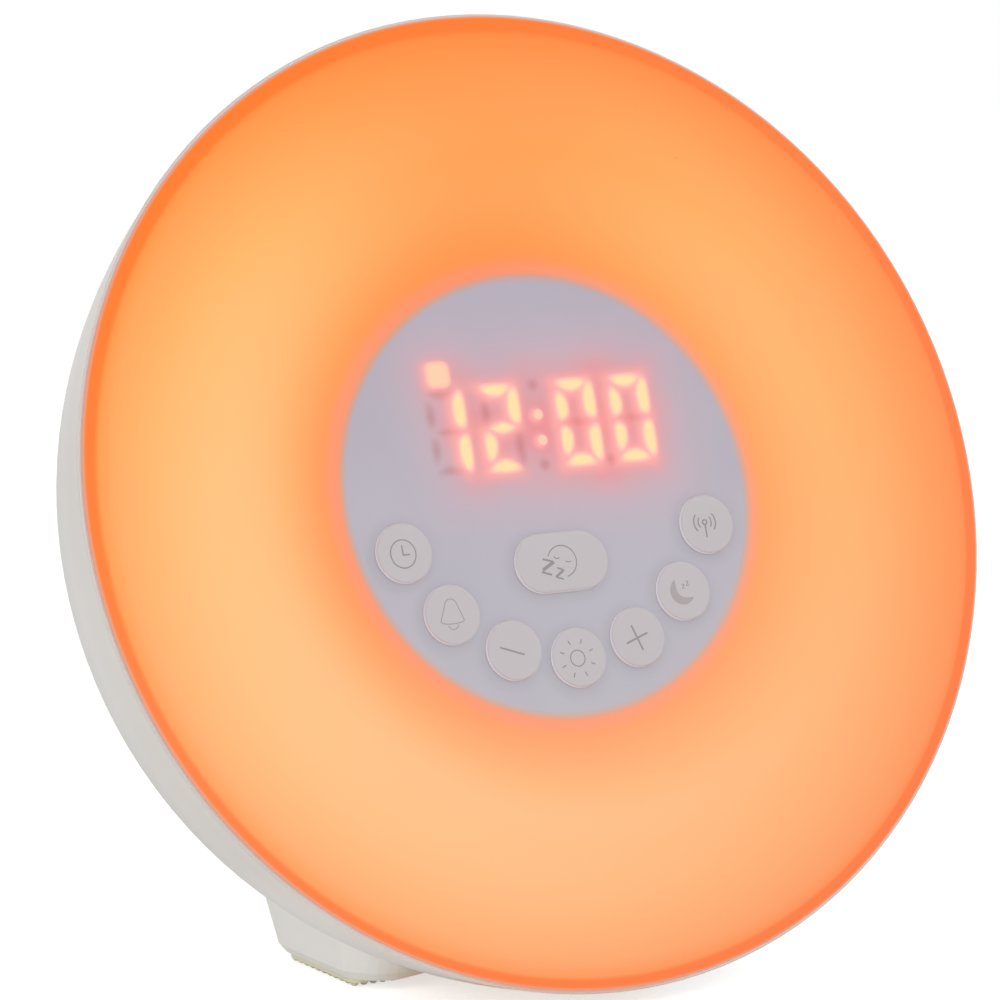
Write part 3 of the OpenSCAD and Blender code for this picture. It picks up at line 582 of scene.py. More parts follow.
def display_light(x, y):
    """The distances to the nearest lit bar and to the indicator, and the masks of the bloom, the haze
    and the dark bars.

    Bloom: one less the product of (one less each bar's bell curve). Haze: one
    less e to the minus sum of all bars' long, slow falls."""
    lit, block, dark = display_distances(x, y)
    shifted, shifted_block, _ = display_distances(x + BLOOM_SHIFT[0], y + BLOOM_SHIFT[1])
    near = np.maximum(np.vstack([shifted, shifted_block[None] + BLOCK_STEP]), 0)
    bloom = 1 - np.prod(1 - BLOOM_MOST * np.exp(-(near / BLOOM_REACH) ** BLOOM_POWER), 0)
    wide = np.maximum(np.vstack([shifted, shifted_block[None]]), 0)
    spread = np.exp(-(wide / HAZE_REACH) ** HAZE_POWER).sum(0)
    return lit.min(0), block, bloom, 1 - np.exp(-HAZE_GAIN * spread), smooth_step(-1.0, 0.75, -dark)


def lamp_level(r, a):
    """Level of the lamps' light at radius r and angle a of the ring.

    A hill that falls off to both sides of its top, plus one cosine wave round
    the ring that grows outwards and has its crest low on the left, less a dim
    patch round the top. Past the pan's edge, which shows further in on the
    upper right, the level steps down to that of the strip beside the rim."""
    inner = 0.22 * (np.minimum(r - HILL_R, 0) / 18) ** 2 - 0.1 * np.exp(-np.maximum(r - 39, 0) / 5.7)
    outer = 0.099 * (np.maximum(r - HILL_R, 0) / 23) ** 2 + 0.035 * smooth_step(80, 83.2, r)
    swing = 0.086 * smooth_step(41, 72.2, r) - 0.017
    crest = np.radians(185.6 + 31.9 * np.clip((r - 41) / 41, 0, 1))
    from_top = (a - np.radians(DIM_ANGLE) + np.pi) % (2 * np.pi) - np.pi
    dim = 0.084 * np.exp(-(from_top / np.radians(33)) ** 2 - ((r - DIM_R) / 21.4) ** 2)
    level = HILL_LEVEL - inner - outer + swing * np.cos(a - crest) - dim
    toward_right = np.cos(a - np.radians(PAN_ANGLE))
    past_pan = smooth_step(-PAN_SOFTNESS, PAN_SOFTNESS, r - (PAN_R - 0.95 * toward_right))
    return level + (STRIP_LEVEL - 0.016 * toward_right - level) * past_pan


def ring_share(r, a):
    """0 on the window and 1 on the ring, by a soft border 1.9 mm wide.

    In the photograph the border isn't quite a circle: it lies a little to the
    right, and is a little longer one way."""
    edge = 37.8 + 0.46 * np.cos(a) + 0.05 * np.sin(a) + 0.2 * np.cos(2 * a - np.radians(50))
    return smooth_step(0, 1.9, r - edge)


def blue_step_with_painted_light(r, a):
    """What is added to the orange's blue: most on a narrow band beside the window, then a tilt, less at
    the top and more at the foot, and further out a stronger tilt and a little less of it all. The tilts
    are painted light: the room's light off the ring, stronger from below than from above."""
    beside_window = 0.1 * np.exp(-((r - 39.8) / 1.5) ** 2)
    # Painted light: less blue at the top and more at the foot, as the room's light off the ring.
    tilt = -0.035 * smooth_step(39, 44, r) * np.sin(a)
    outside = smooth_step(50, 70, r) * (0.006 * np.cos(a) - 0.012 * np.sin(a) - 0.01)
    return beside_window + tilt + outside - 0.02 * smooth_step(81, 83, r)


def rim_line_and_seam_shade(r, z):
    """Two steps close to the rim, 0 to 1 and 1 to 2: the dull line there, and the side below it, which the
    second step dulls further as painted shade of the groove between lens and bowl.
    """
    return smooth_step(84.5, 84.9, r) + smooth_step(84.85, 85.0, r) * (0.4 + 0.6 * (z < -0.6))


def key_shade(x, y):
    """The keys' soft shadow on the window: a bell curve of the distance outside the nearest key, moved
    a little to the left and down, away from the light."""
    x, y = x + SHADE_SHIFT[0], y + SHADE_SHIFT[1]
    gaps = [np.hypot(np.maximum(np.abs(x - kx) - KEY_STRETCH[name], 0), y - ky) - KEY_R
            for name, (kx, ky) in KEY_PLACES.items()]
    return np.exp(-(np.maximum(np.min(gaps, 0), 0) / SHADE_REACH) ** 2)


print("lamps' level on the hill's top, on the right:", round(float(lamp_level(HILL_R, 0.0)), 3))

# %% Storing the glow on the lens's points
BACK_DEPTH, OUT_OF_REACH = 0.6, 9.0
lens_x, lens_y, lens_z = face_coordinates(lens).T
lens_r, lens_a = np.hypot(lens_x, lens_y), np.arctan2(lens_y, lens_x)
behind = lens_z < WINDOW_Z - BACK_DEPTH
bar, block, bloom, haze, unlit = [
    np.where(behind, none, value)
    for none, value in zip((OUT_OF_REACH, OUT_OF_REACH, 0, 0, 0), display_light(lens_x, lens_y))]
level = lamp_level(lens_r, lens_a)
set_attribute(lens, "lamp", level, ring_share(lens_r, lens_a), blue_step_with_painted_light(lens_r, lens_a))
set_attribute(lens, "shade", key_shade(lens_x, lens_y))
set_attribute(lens, "digits", bar, block, bloom)
set_attribute(lens, "haze", haze, unlit, rim_line_and_seam_shade(lens_r, lens_z))
print("light level from", level.min().round(3), "to", level.max().round(3))

# %% [markdown]
# ## The lens's material
#
# What the eye sees on the ring is mostly light from inside, and on the window
# mostly light from the room. So the material first finds the colour that each
# point shows, and then splits it: a share goes to Base Color, which the room
# lights, and the rest to Emission. In a dark room the ring still glows. The
# glows are laid over each other as screen colours, because that is how the eye
# judges a blend, and one Gamma node turns the result into light.

# %% Opal plastic
RING_LOW, RING_HIGH = 0.45, 0.81
WINDOW_MIDDLE = 0.0842
RING_LIT, BLOOM_LIT = 0.72, 0.8
SPECK_SCALE, SPECK_SIZE, SPECK_STRENGTH = 60.0, 0.035, 0.12


def screen(red, green, blue):
    """A colour as a screen shows it, 0 to 255 per channel, scaled to 0 to 1 but not yet turned into light."""
    return red / 255, green / 255, blue / 255, 1.0


def window_colour(g, haze, unlit, bloom, bar, block):
    """Cool grey, a little darker towards the top as painted shade, under the keys' shade, the haze, the unlit
    bars, the bloom, and the lit shapes.

    The haze's red lies past 255, so that a thin haze already reddens the grey."""
    place = g.add("TexCoord").outputs["Object"]
    height = g.maths("SUBTRACT", g.add("SeparateXYZ", {0: place}).outputs[2], WINDOW_MIDDLE)
    cloud = g.add("TexNoise", {"Vector": place, "Scale": 45.0, "Detail": 2.0}).outputs[0]
    shade = g.add("Attribute", attribute_name="shade").outputs["Fac"]
    # Painted shade: the window's grey is a little darker towards its top.
    colour = g.shifted(screen(182.6, 178.9, 190.6)[:3], height, (-0.53, -0.73, -0.42))
    colour = g.shifted(colour, g.maths("SUBTRACT", cloud, 0.5), (0.03, 0.03, 0.03))
    colour = g.mix(shade, colour, (0.962, 0.962, 0.958, 1), "MULTIPLY")
    colour = g.mix(haze, colour, screen(263, 181, 191))
    colour = g.mix(g.maths("MULTIPLY", haze, haze), colour, (1, 0.57, 0.52, 1), "MULTIPLY")
    colour = g.mix(unlit, colour, (0.94, 0.92, 0.91, 1), "MULTIPLY")
    colour = g.mix(bloom, colour, screen(255, 171, 166))
    colour = g.mix(unlit, colour, (0.99, 0.93, 0.92, 1), "MULTIPLY")
    for distance, far, near, tone in (
            (block, 0.35, -0.25, screen(255, 188, 176)),
            (block, 0.05, -0.9, screen(254, 206, 170)),
            (bar, 1.12, 0.38, screen(255, 194, 180)),
            (bar, 0.7, 0.02, screen(255, 223, 165))):
        colour = g.mix(g.soft_step(distance, far, near), colour, tone)
    return colour


def ring_colour(g, level, blue, line):
    """Orange by the lamps' level, with the step of blue added, which holds painted light, under the dull line
    at the rim and the painted shade on the rim's side.
    """
    share = g.maths("DIVIDE", g.maths("SUBTRACT", level, RING_LOW), RING_HIGH - RING_LOW)
    orange = g.ramp(share, [(place, screen(*colour)) for place, *colour in (
        (0.0, 254, 116, 58), (0.14, 254, 128, 66), (0.27, 254, 140, 77), (0.42, 254, 153, 89),
        (0.56, 254, 166, 101), (0.70, 254, 179, 112), (0.84, 254, 191, 127), (1.0, 255, 205, 147))])
    orange = g.shifted(orange, blue, (0, 0, 1))
    orange = g.mix(line, orange, screen(240, 153, 124))
    # The rim's side turns a duller greyish pink: painted shade of the groove between lens and bowl.
    return g.mix(g.maths("SUBTRACT", line, 1.0), orange, screen(205, 168, 152))


def lens_material():
    """Orange on the ring, cool grey on the window, pink and yellow where the display shines."""
    g = new_material("opal_plastic_lit")

    def stored(name):
        return g.add("SeparateXYZ", {0: g.add("Attribute", attribute_name=name).outputs["Vector"]}).outputs

    level, ring, blue = stored("lamp")
    bar, block, bloom = stored("digits")
    # The third value holds the rim's dull line and the painted shade on the rim's side.
    haze, unlit, line = stored("haze")
    shown = g.mix(ring, window_colour(g, haze, unlit, bloom, bar, block), ring_colour(g, level, blue, line))
    specks = g.add("Group", {"Scale": SPECK_SCALE, "Size": SPECK_SIZE}, node_tree=DUST).outputs[0]
    shown = g.mix(g.maths("MULTIPLY", specks, SPECK_STRENGTH), shown, screen(120, 80, 60))
    light = g.add("Gamma", {"Color": shown, "Gamma": 2.2}).outputs[0]
    lit = g.maths("MAXIMUM", g.maths("MULTIPLY", ring, RING_LIT), g.maths("MULTIPLY", bloom, BLOOM_LIT))
    grain = g.add("Group", {"Grain Scale": 2200.0}, node_tree=GRAIN).outputs["Height"]
    bump = g.add("Bump", {"Height": grain, "Strength": 0.3, "Distance": 0.00001}).outputs[0]
    g.surface({"Base Color": g.scaled(light, g.maths("SUBTRACT", 1.0, lit)),
               "Emission Color": g.scaled(light, lit), "Emission Strength": 1.0,
               "Roughness": 0.5, "Specular IOR Level": 0.25, "Normal": bump})
    return g.material


lens.data.materials.clear()
lens.data.materials.append(lens_material())
print("lens material:", lens.data.materials[0].name)

# %% [markdown]
# ## The keys
#
# A key is a small pad of pale plastic with a rounded edge, standing less than
# a millimetre proud. Its outline is turned, and the snooze key is the same shape
# pulled apart at its middle. Only the part that shows and the flange behind the
# window are needed, down to the stem that meets the switch.

# %% Key caps
KEY_TOP, KEY_ROUND, KEY_CROWN = -0.7, 0.4, 0.04
FLANGE_R, FLANGE_TOP, FLANGE_LOW, STEM_R, STEM_LOW = 5.88, -5.1, -6.1, 1.6, -7.3


def crown(r):
    """How far a cap's top lies below its middle at radius r: it falls by the square of the radius."""
    return KEY_CROWN * (r / KEY_R) ** 2


def key_profile():
    """From the middle of the crowned top, over a quarter-round edge, down to the flange and the stem."""
    a = np.linspace(np.pi / 2, 0, 9)
    top_r = np.array([0.0, 1.5, 3.0, 4.2])
    edge_r = KEY_R - KEY_ROUND + KEY_ROUND * np.cos(a)
    edge_z = KEY_TOP - KEY_ROUND - KEY_CROWN + KEY_ROUND * np.sin(a)
    low_r = [KEY_R, FLANGE_R, FLANGE_R, STEM_R, STEM_R, 0.0]
    low_z = [FLANGE_TOP, FLANGE_TOP, FLANGE_LOW, FLANGE_LOW, STEM_LOW, STEM_LOW]
    return np.concatenate([top_r, edge_r, low_r]), np.concatenate([KEY_TOP - crown(top_r), edge_z, low_z])


def key_plastic():
    """Satin grey, whose rounded edge carries painted light, a small emission: in the soft light of the
    photograph the caps have no dark outline, and the painted light makes up for the light that the edge turns
    away from."""
    g = plastic_graph("key_satin_grey_edge_painted_light", (194, 189, 193), 0.5, 3000, 8, 0.02, 0.3)
    edge = g.add("Attribute", attribute_name="edge").outputs["Fac"]
    # Painted light: the caps' rounded edge glows a little by emission.
    g.surface({"Emission Color": g.mix(edge, (0, 0, 0, 1), tint(146, 143, 146)), "Emission Strength": 1.0})
    return g.material


key_material = key_plastic()
for name, place in KEY_PLACES.items():
    points, faces = turned(*key_profile(), 72)
    # Mask of the caps' rounded edge, where the key material paints light by emission.
    edge = smooth_step(0.1, 0.5, KEY_TOP - points[:, 2]) * (points[:, 2] > WINDOW_Z - 0.5)
    points = stretched(points, KEY_STRETCH[name]) + [*place, 0]
    cap = add_mesh(name + "_cap", face_to_row(points), faces, name + "_button")
    set_attribute(cap, "edge", edge)
    cap.data.set_sharp_from_angle(angle=np.radians(50))
    cap.data.materials.append(key_material)
    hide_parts(name + "_key")
print("key caps made:", len(KEY_PLACES))

# %% [markdown]
# ## The printed marks
#
# The marks on the keys are thin grey lines. A texture would blur at this size,
# so each mark is a set of strokes: flat ribbons a few hundredths of a
# millimetre thick, each given by its points, from the middle of the key, and
# its width.

# %% Strokes
MARK_THICK = 0.03


def arc(cx, cy, rx, ry, start, end, count=28):
    """Points of an ellipse round (cx, cy) from one angle to another, in degrees."""
    a = np.radians(np.linspace(start, end, count))
    return np.stack([cx + rx * np.cos(a), cy + ry * np.sin(a)], -1)


def spun(points, angle):
    """Points turned about the middle of the key by an angle in degrees."""
    a = np.radians(angle)
    return np.asarray(points, float) @ np.array([[np.cos(a), np.sin(a)], [-np.sin(a), np.cos(a)]])


def band(left, right, closed=False):
    """A flat bar between two lines of points: four corners at each step, and a cap at each end of an
    open one."""
    z = np.full((len(left), 1), MARK_THICK)
    ring = np.stack([np.hstack([left, 0 * z]), np.hstack([right, 0 * z]),
                     np.hstack([right, z]), np.hstack([left, z])], 1)
    last = 4 * len(left) - 4
    caps = [] if closed else [[0, 1, 2, 3], [last + 3, last + 2, last + 1, last]]
    return ring.reshape(-1, 3), grid_faces(len(left), 4, closed).tolist() + caps


def ribbon(points, width):
    """A bar along a line: at each point half a width to both sides, square to the way from the point
    before to the next."""
    p = np.asarray(points, float)
    closed = len(p) > 3 and np.allclose(p[0], p[-1])
    p = p[:-1] if closed else p
    along = np.roll(p, -1, 0) - np.roll(p, 1, 0) if closed else np.gradient(p, axis=0)
    along /= np.linalg.norm(along, axis=1, keepdims=True)
    side = np.stack([-along[:, 1], along[:, 0]], -1) * width / 2
    return band(p + side, p - side, closed)


def zigzag(corners, width, slant_width):
    """The three straight strokes of a Z: along its top, down its heavier slant, and along its foot."""
    return [(np.array(corners[k:k + 2], float), slant_width if k == 1 else width) for k in range(3)]


rays = [(spun([[2.62, 0], [3.42, 0]], 22.5 + 45 * k) + [0.09, 0], 0.22) for k in range(8)]
waves = [(arc(0, 0.5, r, r, a - 42, a + 42, 16), 0.24) for r in (1.3, 2.15) for a in (0, 180)]
bell = np.vstack([[[-1.99, -1.0]], arc(0.38, 1.72, 1.13, 1.09, 168, 12, 16), [[2.44, -0.9]],
                  arc(0.22, -0.95, 2.2, 0.5, 0, -180, 12)])
MARKS = {
    "set_clock": [(arc(0.17, 0, 2.34, 2.42, 0, 360, 60), 0.22), ([(0.11, 1.5), (0.12, -0.2)], 0.26),
                  ([(0.0, -0.2), (1.42, -0.2)], 0.26)],
    "alarm": [(bell, 0.13), (arc(0.25, -1.62, 0.9, 0.8, 185, 355, 14), 0.13)],
    "minus": [([(-2.22, 0.84), (2.14, -0.78)], 0.32)],
    "light": [(arc(0.09, 0, 1.38, 1.38, 0, 360, 44), 0.2)] + rays,
    "plus": [([(-2.02, -0.8), (2.33, 0.68)], 0.33), ([(-0.56, 2.24), (0.94, -2.23)], 0.33)],
    "radio": [([(0, -2.2), (0, 0.1)], 0.28), (arc(0, 0.5, 0.42, 0.42, 0, 360, 20), 0.28)] + waves,
    "sleep": zigzag([(0.16, 1.27), (0.71, 1.14), (0.2, 0.55), (0.73, 0.55)], 0.12, 0.16)
    + zigzag([(1.04, 1.8), (1.55, 1.7), (1.11, 0.98), (1.7, 1.02)], 0.12, 0.16),
    "snooze": [(arc(0.47, 0.2, 2.74, 2.74, 158, -78, 50), 0.22),
               (arc(-0.4, 1.3, 0.56, 0.6, 195, 320, 10), 0.2),
               (arc(1.7, 0.35, 0.62, 0.38, 200, 320, 10), 0.18)]
    + zigzag([(-3.22, 0.88), (-1.16, 0.21), (-3.94, -1.28), (-1.93, -1.99)], 0.36, 0.6)
    + zigzag([(-0.77, -0.83), (0.47, -1.34), (-1.2, -2.42), (0.16, -2.92)], 0.28, 0.42),
}
print("strokes:", sum(len(v) for v in MARKS.values()))

# %% [markdown]
# The moon is the one filled mark. It is a ribbon too, whose width swells from
# nothing at one horn to its full breadth and back to nothing at the other. All
# prints lie a little left of their keys' middles, half sunk in the top, and
# each stroke a thousandth higher than the last, so that crossing strokes share
# no face.

# %% Printing the marks
MARK_SHIFT = (-0.55, -0.17)
MARK_SINK, STROKE_STEP = 0.015, 0.001
MOON_R, MOON_BULGE, MOON_STEPS = 2.38, 1.52, 40


def moon():
    """Crescent between a circle's arc and a curve that leaves the straight line between its horns as a
    sine wave."""
    outer = arc(0.15, 0.1, MOON_R, MOON_R, 119, 329, MOON_STEPS)
    share = np.linspace(0, 1, MOON_STEPS)[:, None]
    straight = outer[:1] * (1 - share) + outer[-1:] * share
    return band(straight + MOON_BULGE * np.sin(np.pi * share) * [[-0.72, -0.695]], outer)


moon_ink = plastic("moon_pale_ink", (172, 165, 167), 0.55, 4000, 4, 0.05, 0.2)
mark_ink = plastic("mark_grey_ink", (152, 146, 150), 0.55, 4000, 4, 0.05, 0.2)
printed = [(name, "_mark", [ribbon(points, width) for points, width in strokes], mark_ink)
           for name, strokes in MARKS.items()] + [("sleep", "_moon", [moon()], moon_ink)]
for name, ending, parts, material in printed:
    points, faces = joined([(own + [0, 0, STROKE_STEP * k], own_faces)
                            for k, (own, own_faces) in enumerate(parts)])
    points[:, 2] += KEY_TOP - crown(np.hypot(points[:, 0], points[:, 1])) - MARK_SINK
    points += [*(np.array(KEY_PLACES[name]) + MARK_SHIFT), 0]
    mark = add_mesh(name + ending, face_to_row(points), faces, name + "_button", smooth=False)
    mark.data.materials.append(material)
print("marks printed:", len(printed))

# %% [markdown]
# ## The rubber sole
#
# Under the foot is one soft moulding: two strips of knobs that grip the table,
# joined by a ribbed bar. A knob is a rounded bump, and a hundred of them as
# separate objects would be heavy and never quite touch their strip. So a strip
# is one closed surface whose underside is a height field: the height rises from
# the table by a soft step wherever a point lies between knobs.

# %% The sole
STRIP_X, STRIP_HALF, SOLE_HALF_Y, STRIP_CORNER = 28.8, 4.6, 13.1, 1.8
ROW_PITCH, COLUMN_PITCH, KNOB_HIGH, SOLE_TOP = 2.35, 1.8, 0.7, 2.1
KNOB_HALF_ROW, KNOB_HALF_COLUMN, KNOB_SLOPE = 0.32, 0.27, 0.52
STRIP_STEPS, STRIP_ACROSS, STRIP_EDGE = 150, 54, 0.35
BAR_HALF_Y, RIB_HALF, RIB_SLOPE, BAR_STEPS = 3.5, 0.3, 0.5, 57
BAR_X = np.array([-25.0, -20.0, -19.4, 19.4, 20.0, 25.0])
BAR_RISE = np.array([0, 0, 0.6, 0.6, 0, 0])


def past_row(along, half):
    """How far a point lies outside the nearest row of knobs or rib, along the sole."""
    return np.abs(along - np.round(along / ROW_PITCH) * ROW_PITCH) - half


def knob_height(across, along):
    """Height of the underside: nothing on a knob, then a soft step up to the groove, by the distance
    outside the nearest knob's rounded square."""
    column = np.clip(np.round(across / COLUMN_PITCH), -2, 2) * COLUMN_PITCH
    past_column = np.abs(across - column) - KNOB_HALF_COLUMN
    outside = np.hypot(np.maximum(past_row(along, KNOB_HALF_ROW), 0), np.maximum(past_column, 0))
    return KNOB_HIGH * smooth_step(0.0, KNOB_SLOPE, outside)


def sole_strip(centre_x):
    """A closed strip: each row across it is as wide as the rounded outline there, its underside is the
    knobs' height field, its top is flat, and two rows of faces close its ends."""
    along = np.linspace(-SOLE_HALF_Y, SOLE_HALF_Y, STRIP_STEPS)[:, None]
    past = np.maximum(np.abs(along) - (SOLE_HALF_Y - STRIP_CORNER), 0)
    half = STRIP_HALF - STRIP_CORNER + np.sqrt(np.maximum(STRIP_CORNER ** 2 - past ** 2, 0.01))
    share = np.linspace(-1, 1, STRIP_ACROSS)
    across = half * share
    along = along + 0 * across
    under = np.maximum(knob_height(across, along), STRIP_EDGE * smooth_step(0.94, 1.0, np.abs(share)))
    low = np.stack([across, along, under], -1)
    high = low[:, ::-1] * [1, 1, 0] + [0, 0, SOLE_TOP]
    loop = np.concatenate([low, high], 1)
    turns = loop.shape[1]
    k = np.arange(STRIP_ACROSS - 1)
    cap = np.stack([k, k + 1, turns - 2 - k, turns - 1 - k], -1)
    far_cap = cap + (STRIP_STEPS - 1) * turns
    faces = grid_faces(STRIP_STEPS, turns).tolist() + cap[:, ::-1].tolist() + far_cap.tolist()
    return loop.reshape(-1, 3) + [centre_x, 0, 0], faces


def sole_bar():
    """The joining bar: a profile along y, with three ribs under it, carried across from strip to strip
    and higher between them, where it reaches up into the foot's arch."""
    along = np.linspace(-BAR_HALF_Y, BAR_HALF_Y, BAR_STEPS)
    under = KNOB_HIGH * smooth_step(0.0, RIB_SLOPE, past_row(along, RIB_HALF))
    profile_y = np.concatenate([along, along[::-1]])
    profile_z = np.concatenate([under, np.full(BAR_STEPS, SOLE_TOP)])
    lifted = profile_z + BAR_RISE[:, None] * (np.arange(2 * BAR_STEPS) >= BAR_STEPS)
    loop = np.stack([BAR_X[:, None] + 0 * lifted, profile_y + 0 * lifted, lifted], -1)
    turns = len(profile_y)
    sides = [face[::-1] for face in grid_faces(len(BAR_X), turns).tolist()]
    first = list(range(turns))
    last = [i + (len(BAR_X) - 1) * turns for i in first]
    return loop.reshape(-1, 3), sides + [first, last[::-1]]


sole_points, sole_faces = joined([sole_strip(-STRIP_X), sole_strip(STRIP_X), sole_bar()])
sole = add_mesh("knobbed_sole", sole_points * MM, sole_faces)
sole.data.set_sharp_from_angle(angle=np.radians(50))
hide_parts("foot_pad")
print("sole faces:", len(sole_faces))

# %% [markdown]
# ## The shell, the foot and the pieces behind
#
# The bowl, its foot and the battery cover are the CAD solids, whose shape is
# right, so they only get a finish: an off-white plastic with a fine moulded
# grain, which on the bowl also paints shade and light beside the lens and on
# the foot. The metal, rubber and board materials share the same grain group with
# other values.

# %% The shell
SEAM_DEPTH, SEAM_NEAR, SEAM_SHADE_STRENGTH = 0.0014, 0.0003, 0.75
WALL_DEPTH, WALL_NEAR = 0.016, 0.007


def shell_plastic():
    """The bowl's off-white, with a thin warm grey line on the lip beside the lens: painted shade of the
    groove there, warmed by painted light from the ring. The wall next to it is painted slightly darker
    and warmer in the same way.

    Both are found by how far a point lies behind the rim, measured square to
    the face. The foot glows a little by emission, painted light for the floor's bounce, and in the hollow
    under the lens that glow is warm and the base colour is painted darker and warmer, as painted light
    from the ring and painted shade."""
    g = plastic_graph("shell_off_white", (243, 240, 235), 0.42, 2600, 12, 0.012)
    x, y, z = g.add("SeparateXYZ", {0: g.add("TexCoord").outputs["Object"]}).outputs
    along_z = g.maths("MULTIPLY", g.maths("SUBTRACT", z, RIM_HEIGHT * MM), float(np.sin(LEAN)))
    along_y = g.maths("MULTIPLY", g.maths("ADD", y, RIM_BACK * MM), float(np.cos(LEAN)))
    out = g.maths("SUBTRACT", along_z, along_y)
    # Painted shade: a thin warm grey line on the lip by the lens, and the wall beside it a little darker and
    # warmer, warmed by the ring's painted light.
    seam = g.soft_step(out, -SEAM_DEPTH, -SEAM_NEAR, SEAM_SHADE_STRENGTH)
    wall = g.soft_step(out, -WALL_DEPTH, -WALL_NEAR)
    # Painted light on the foot: a faint emission for the floor's bounce, warm in the hollow under the lens,
    # where the base colour is also painted darker and warmer.
    foot = g.soft_step(z, 0.03, 0.02)
    under_middle = g.maths("MULTIPLY", g.soft_step(x, -0.034, -0.021), g.soft_step(x, 0.012, 0.0))
    under_lens_painted_light = g.maths("MULTIPLY", under_middle, g.maths("MULTIPLY", g.soft_step(y, 0.0, -0.01), foot))
    plain = g.shader.inputs["Base Color"].links[0].from_socket
    painted_shade_walls = g.mix(wall, plain, (0.958, 0.94, 0.925, 1), "MULTIPLY")
    warm = g.mix(under_lens_painted_light, painted_shade_walls, (0.93, 0.85, 0.77, 1), "MULTIPLY")
    painted_floor_bounce = g.mix(under_lens_painted_light, (0.045, 0.045, 0.045, 1), (0.05, 0.02, 0.0, 1))
    g.surface({"Base Color": g.mix(seam, warm, tint(203, 187, 179)),
               "Emission Color": g.mix(foot, (0, 0, 0, 1), painted_floor_bounce), "Emission Strength": 1.0})
    return g.material


print("the seam's line fades over, mm:", round((SEAM_DEPTH - SEAM_NEAR) / MM, 1))

# %% [markdown]
# A row of each table below is a slot of the record: the material's name, its
# colour on a screen and its roughness; for a plastic also its grains per metre,
# bump in micrometres and depth of tone, and for a dull one its specular level.

# %% Finishes for the CAD nodes
PLASTICS = {
    "pad_rubber": ("pad_beige_rubber", (232, 228, 202), 0.8, 1500, 30, 0.06, 0.2),
    "inner_white": ("inner_white_plastic", (243, 243, 240), 0.5, 2000, 15, 0.01),
    "board_white": ("board_white_mask", (238, 240, 238), 0.35, 1200, 10, 0.02),
    "led_phosphor": ("lamp_phosphor", (252, 230, 150), 0.4, 3000, 10, 0.05),
    "display_black": ("display_matt_black", (38, 38, 40), 0.55, 2500, 10, 0.04),
    "segment_glow": ("segment_pale", (255, 232, 190), 0.3, 3000, 5, 0.02),
    "board_green": ("board_green_mask", (52, 120, 84), 0.3, 900, 10, 0.08),
    "switch_black": ("switch_black_plastic", (42, 42, 44), 0.5, 2500, 10, 0.04),
    "chip_black": ("chip_black_resin", (36, 36, 38), 0.6, 2200, 10, 0.04),
    "magnet_grey": ("magnet_ground_ferrite", (88, 88, 92), 0.55, 1400, 30, 0.1),
    "cone_paper": ("cone_pressed_pulp", (58, 56, 55), 0.85, 1100, 50, 0.15, 0.1),
    "gasket_foam": ("gasket_black_foam", (54, 54, 56), 0.9, 1600, 80, 0.1, 0.1),
    "speaker_cloth": ("speaker_black_cloth", (44, 44, 46), 0.9, 1300, 80, 0.1, 0.1),
    "jack_black": ("jack_black_nylon", (40, 40, 42), 0.35, 2600, 8, 0.04),
    "grommet_rubber": ("grommet_grey_rubber", (150, 150, 148), 0.75, 1700, 20, 0.05, 0.25),
    "cell_jacket": ("cell_blue_film", (70, 112, 160), 0.25, 700, 5, 0.04),
    "ribbon_grey": ("ribbon_grey_vinyl", (188, 188, 192), 0.5, 2000, 10, 0.03),
    "lead_red": ("lead_red_vinyl", (196, 52, 46), 0.45, 2000, 10, 0.05),
    "lead_black": ("lead_black_vinyl", (44, 44, 44), 0.45, 2000, 10, 0.05),
    "lead_blue": ("lead_blue_vinyl", (56, 66, 160), 0.45, 2000, 10, 0.05),
    "plunger_cream": ("plunger_cream_acetal", (236, 230, 208), 0.4, 2500, 8, 0.02),
}
METALS = {
    "speaker_steel": ("speaker_plated_steel", (205, 206, 208), 0.35),
    "screw_steel": ("screw_zinc_plate", (200, 202, 205), 0.4),
    "contact_nickel": ("contact_nickel_plate", (214, 211, 204), 0.25),
}
FINISHES = {slot: plastic(*look) for slot, look in PLASTICS.items()}
FINISHES.update((slot, metal(*look)) for slot, look in METALS.items())
FINISHES.update(white_shell=shell_plastic(), key_plastic=key_material, opal_lens=lens.data.materials[0])
for row in frame["record"]["subparts"]:
    node = nodes[row["node"]]
    node.data.materials.clear()
    node.data.materials.append(FINISHES[row["material_slot"]])
sole.data.materials.append(FINISHES["pad_rubber"])
print("finishes:", len(FINISHES), "for", len(nodes), "nodes")

# %% [markdown]
# ## The room
#
# The clock stands on a plain pale floor under soft light: a wide panel high on
# the right, which throws the keys' small shadows down to the left, a weaker one
# on the left, a small one low in front for the foot, and an even sky. The
# camera sees the sky as plain white, and the floor as white but for a part of
# the clock's shadow, because Light Path tells what kind of ray is looking.

# %% Floor, sky and lamps
SKY_LEVEL, FLOOR_SIZE, FLOOR_GLOW = 0.49, 6.0, 0.6
WHITE = (1, 1, 1, 1)


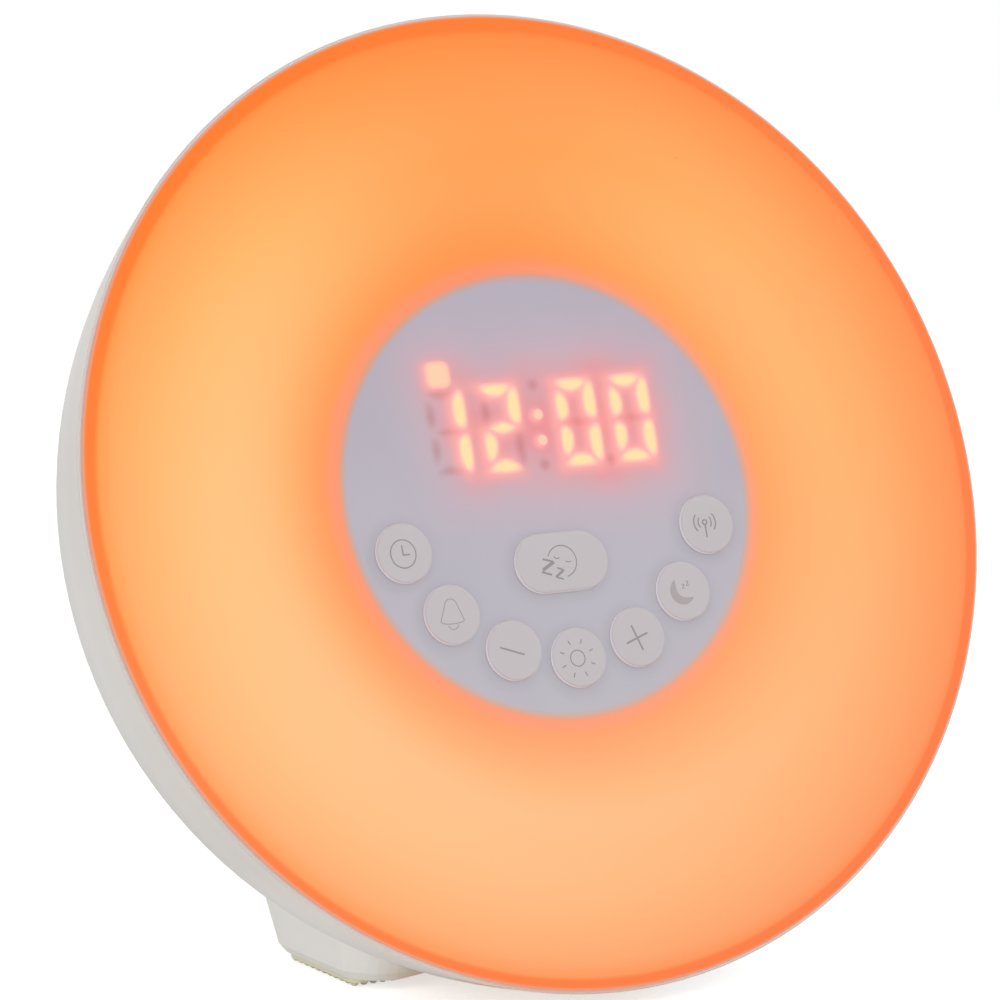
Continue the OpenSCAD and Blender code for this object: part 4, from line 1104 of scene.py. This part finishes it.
def make_world(level):
    """An even sky of one level that lights the object; camera, mirror and glass rays see white instead."""
    world = bpy.data.worlds.new("soft_sky")
    world.use_nodes = True
    world.node_tree.nodes.clear()
    g = Graph(world.node_tree)
    rays = g.add("LightPath").outputs
    clear = g.maths("MAXIMUM", rays["Is Glossy Ray"], rays["Is Transmission Ray"])
    looks = g.maths("MAXIMUM", rays["Is Camera Ray"], clear)
    sky = g.add("Background", {"Color": WHITE, "Strength": level}).outputs[0]
    white = g.add("Background", {"Color": WHITE, "Strength": 1.0}).outputs[0]
    both = g.add("MixShader", {0: looks, 1: sky, 2: white}).outputs[0]
    g.add("OutputWorld", {"Surface": both})
    bpy.context.scene.world = world


def make_floor():
    """A wide square under the foot: a pale matt surface that glows for the camera's rays only, so that
    it shows white but for part of the shadow."""
    corners = np.array([[-1, -1, 0], [1, -1, 0], [1, 1, 0], [-1, 1, 0]]) * FLOOR_SIZE / 2
    mesh = new_mesh("studio_floor", corners, [[0, 1, 2, 3]])
    g = new_material("floor_pale")
    glow_level = g.maths("MULTIPLY", g.add("LightPath").outputs["Is Camera Ray"], FLOOR_GLOW)
    g.surface({"Base Color": (0.86, 0.86, 0.86, 1), "Roughness": 0.9, "Specular IOR Level": 0.1,
               "Emission Color": WHITE, "Emission Strength": glow_level})
    mesh.materials.append(g.material)
    floor = new_object("studio_floor", mesh)


def area_lamp(name, place, aim, size, power):
    """A square lamp panel that faces a point."""
    data = bpy.data.lights.new(name, "AREA")
    data.shape, data.size, data.energy = "SQUARE", size, power
    turn = (Vector(aim) - Vector(place)).to_track_quat("-Z", "Y").to_matrix().to_4x4()
    turn.translation = place
    new_object(name, data).matrix_world = turn


make_world(SKY_LEVEL)
make_floor()
area_lamp("panel_right", (0.75, -0.75, 1.05), (0, 0, 0.08), 0.7, 5.8)
area_lamp("panel_left", (-1.1, -0.15, 0.45), (0, 0, 0.06), 0.8, 2.6)
area_lamp("panel_low", (-0.3, -0.75, 0.1), (0, 0, 0.03), 0.16, 1.3)
bpy.context.scene.view_settings.view_transform = "Standard"
print("world, floor and lamps ready")
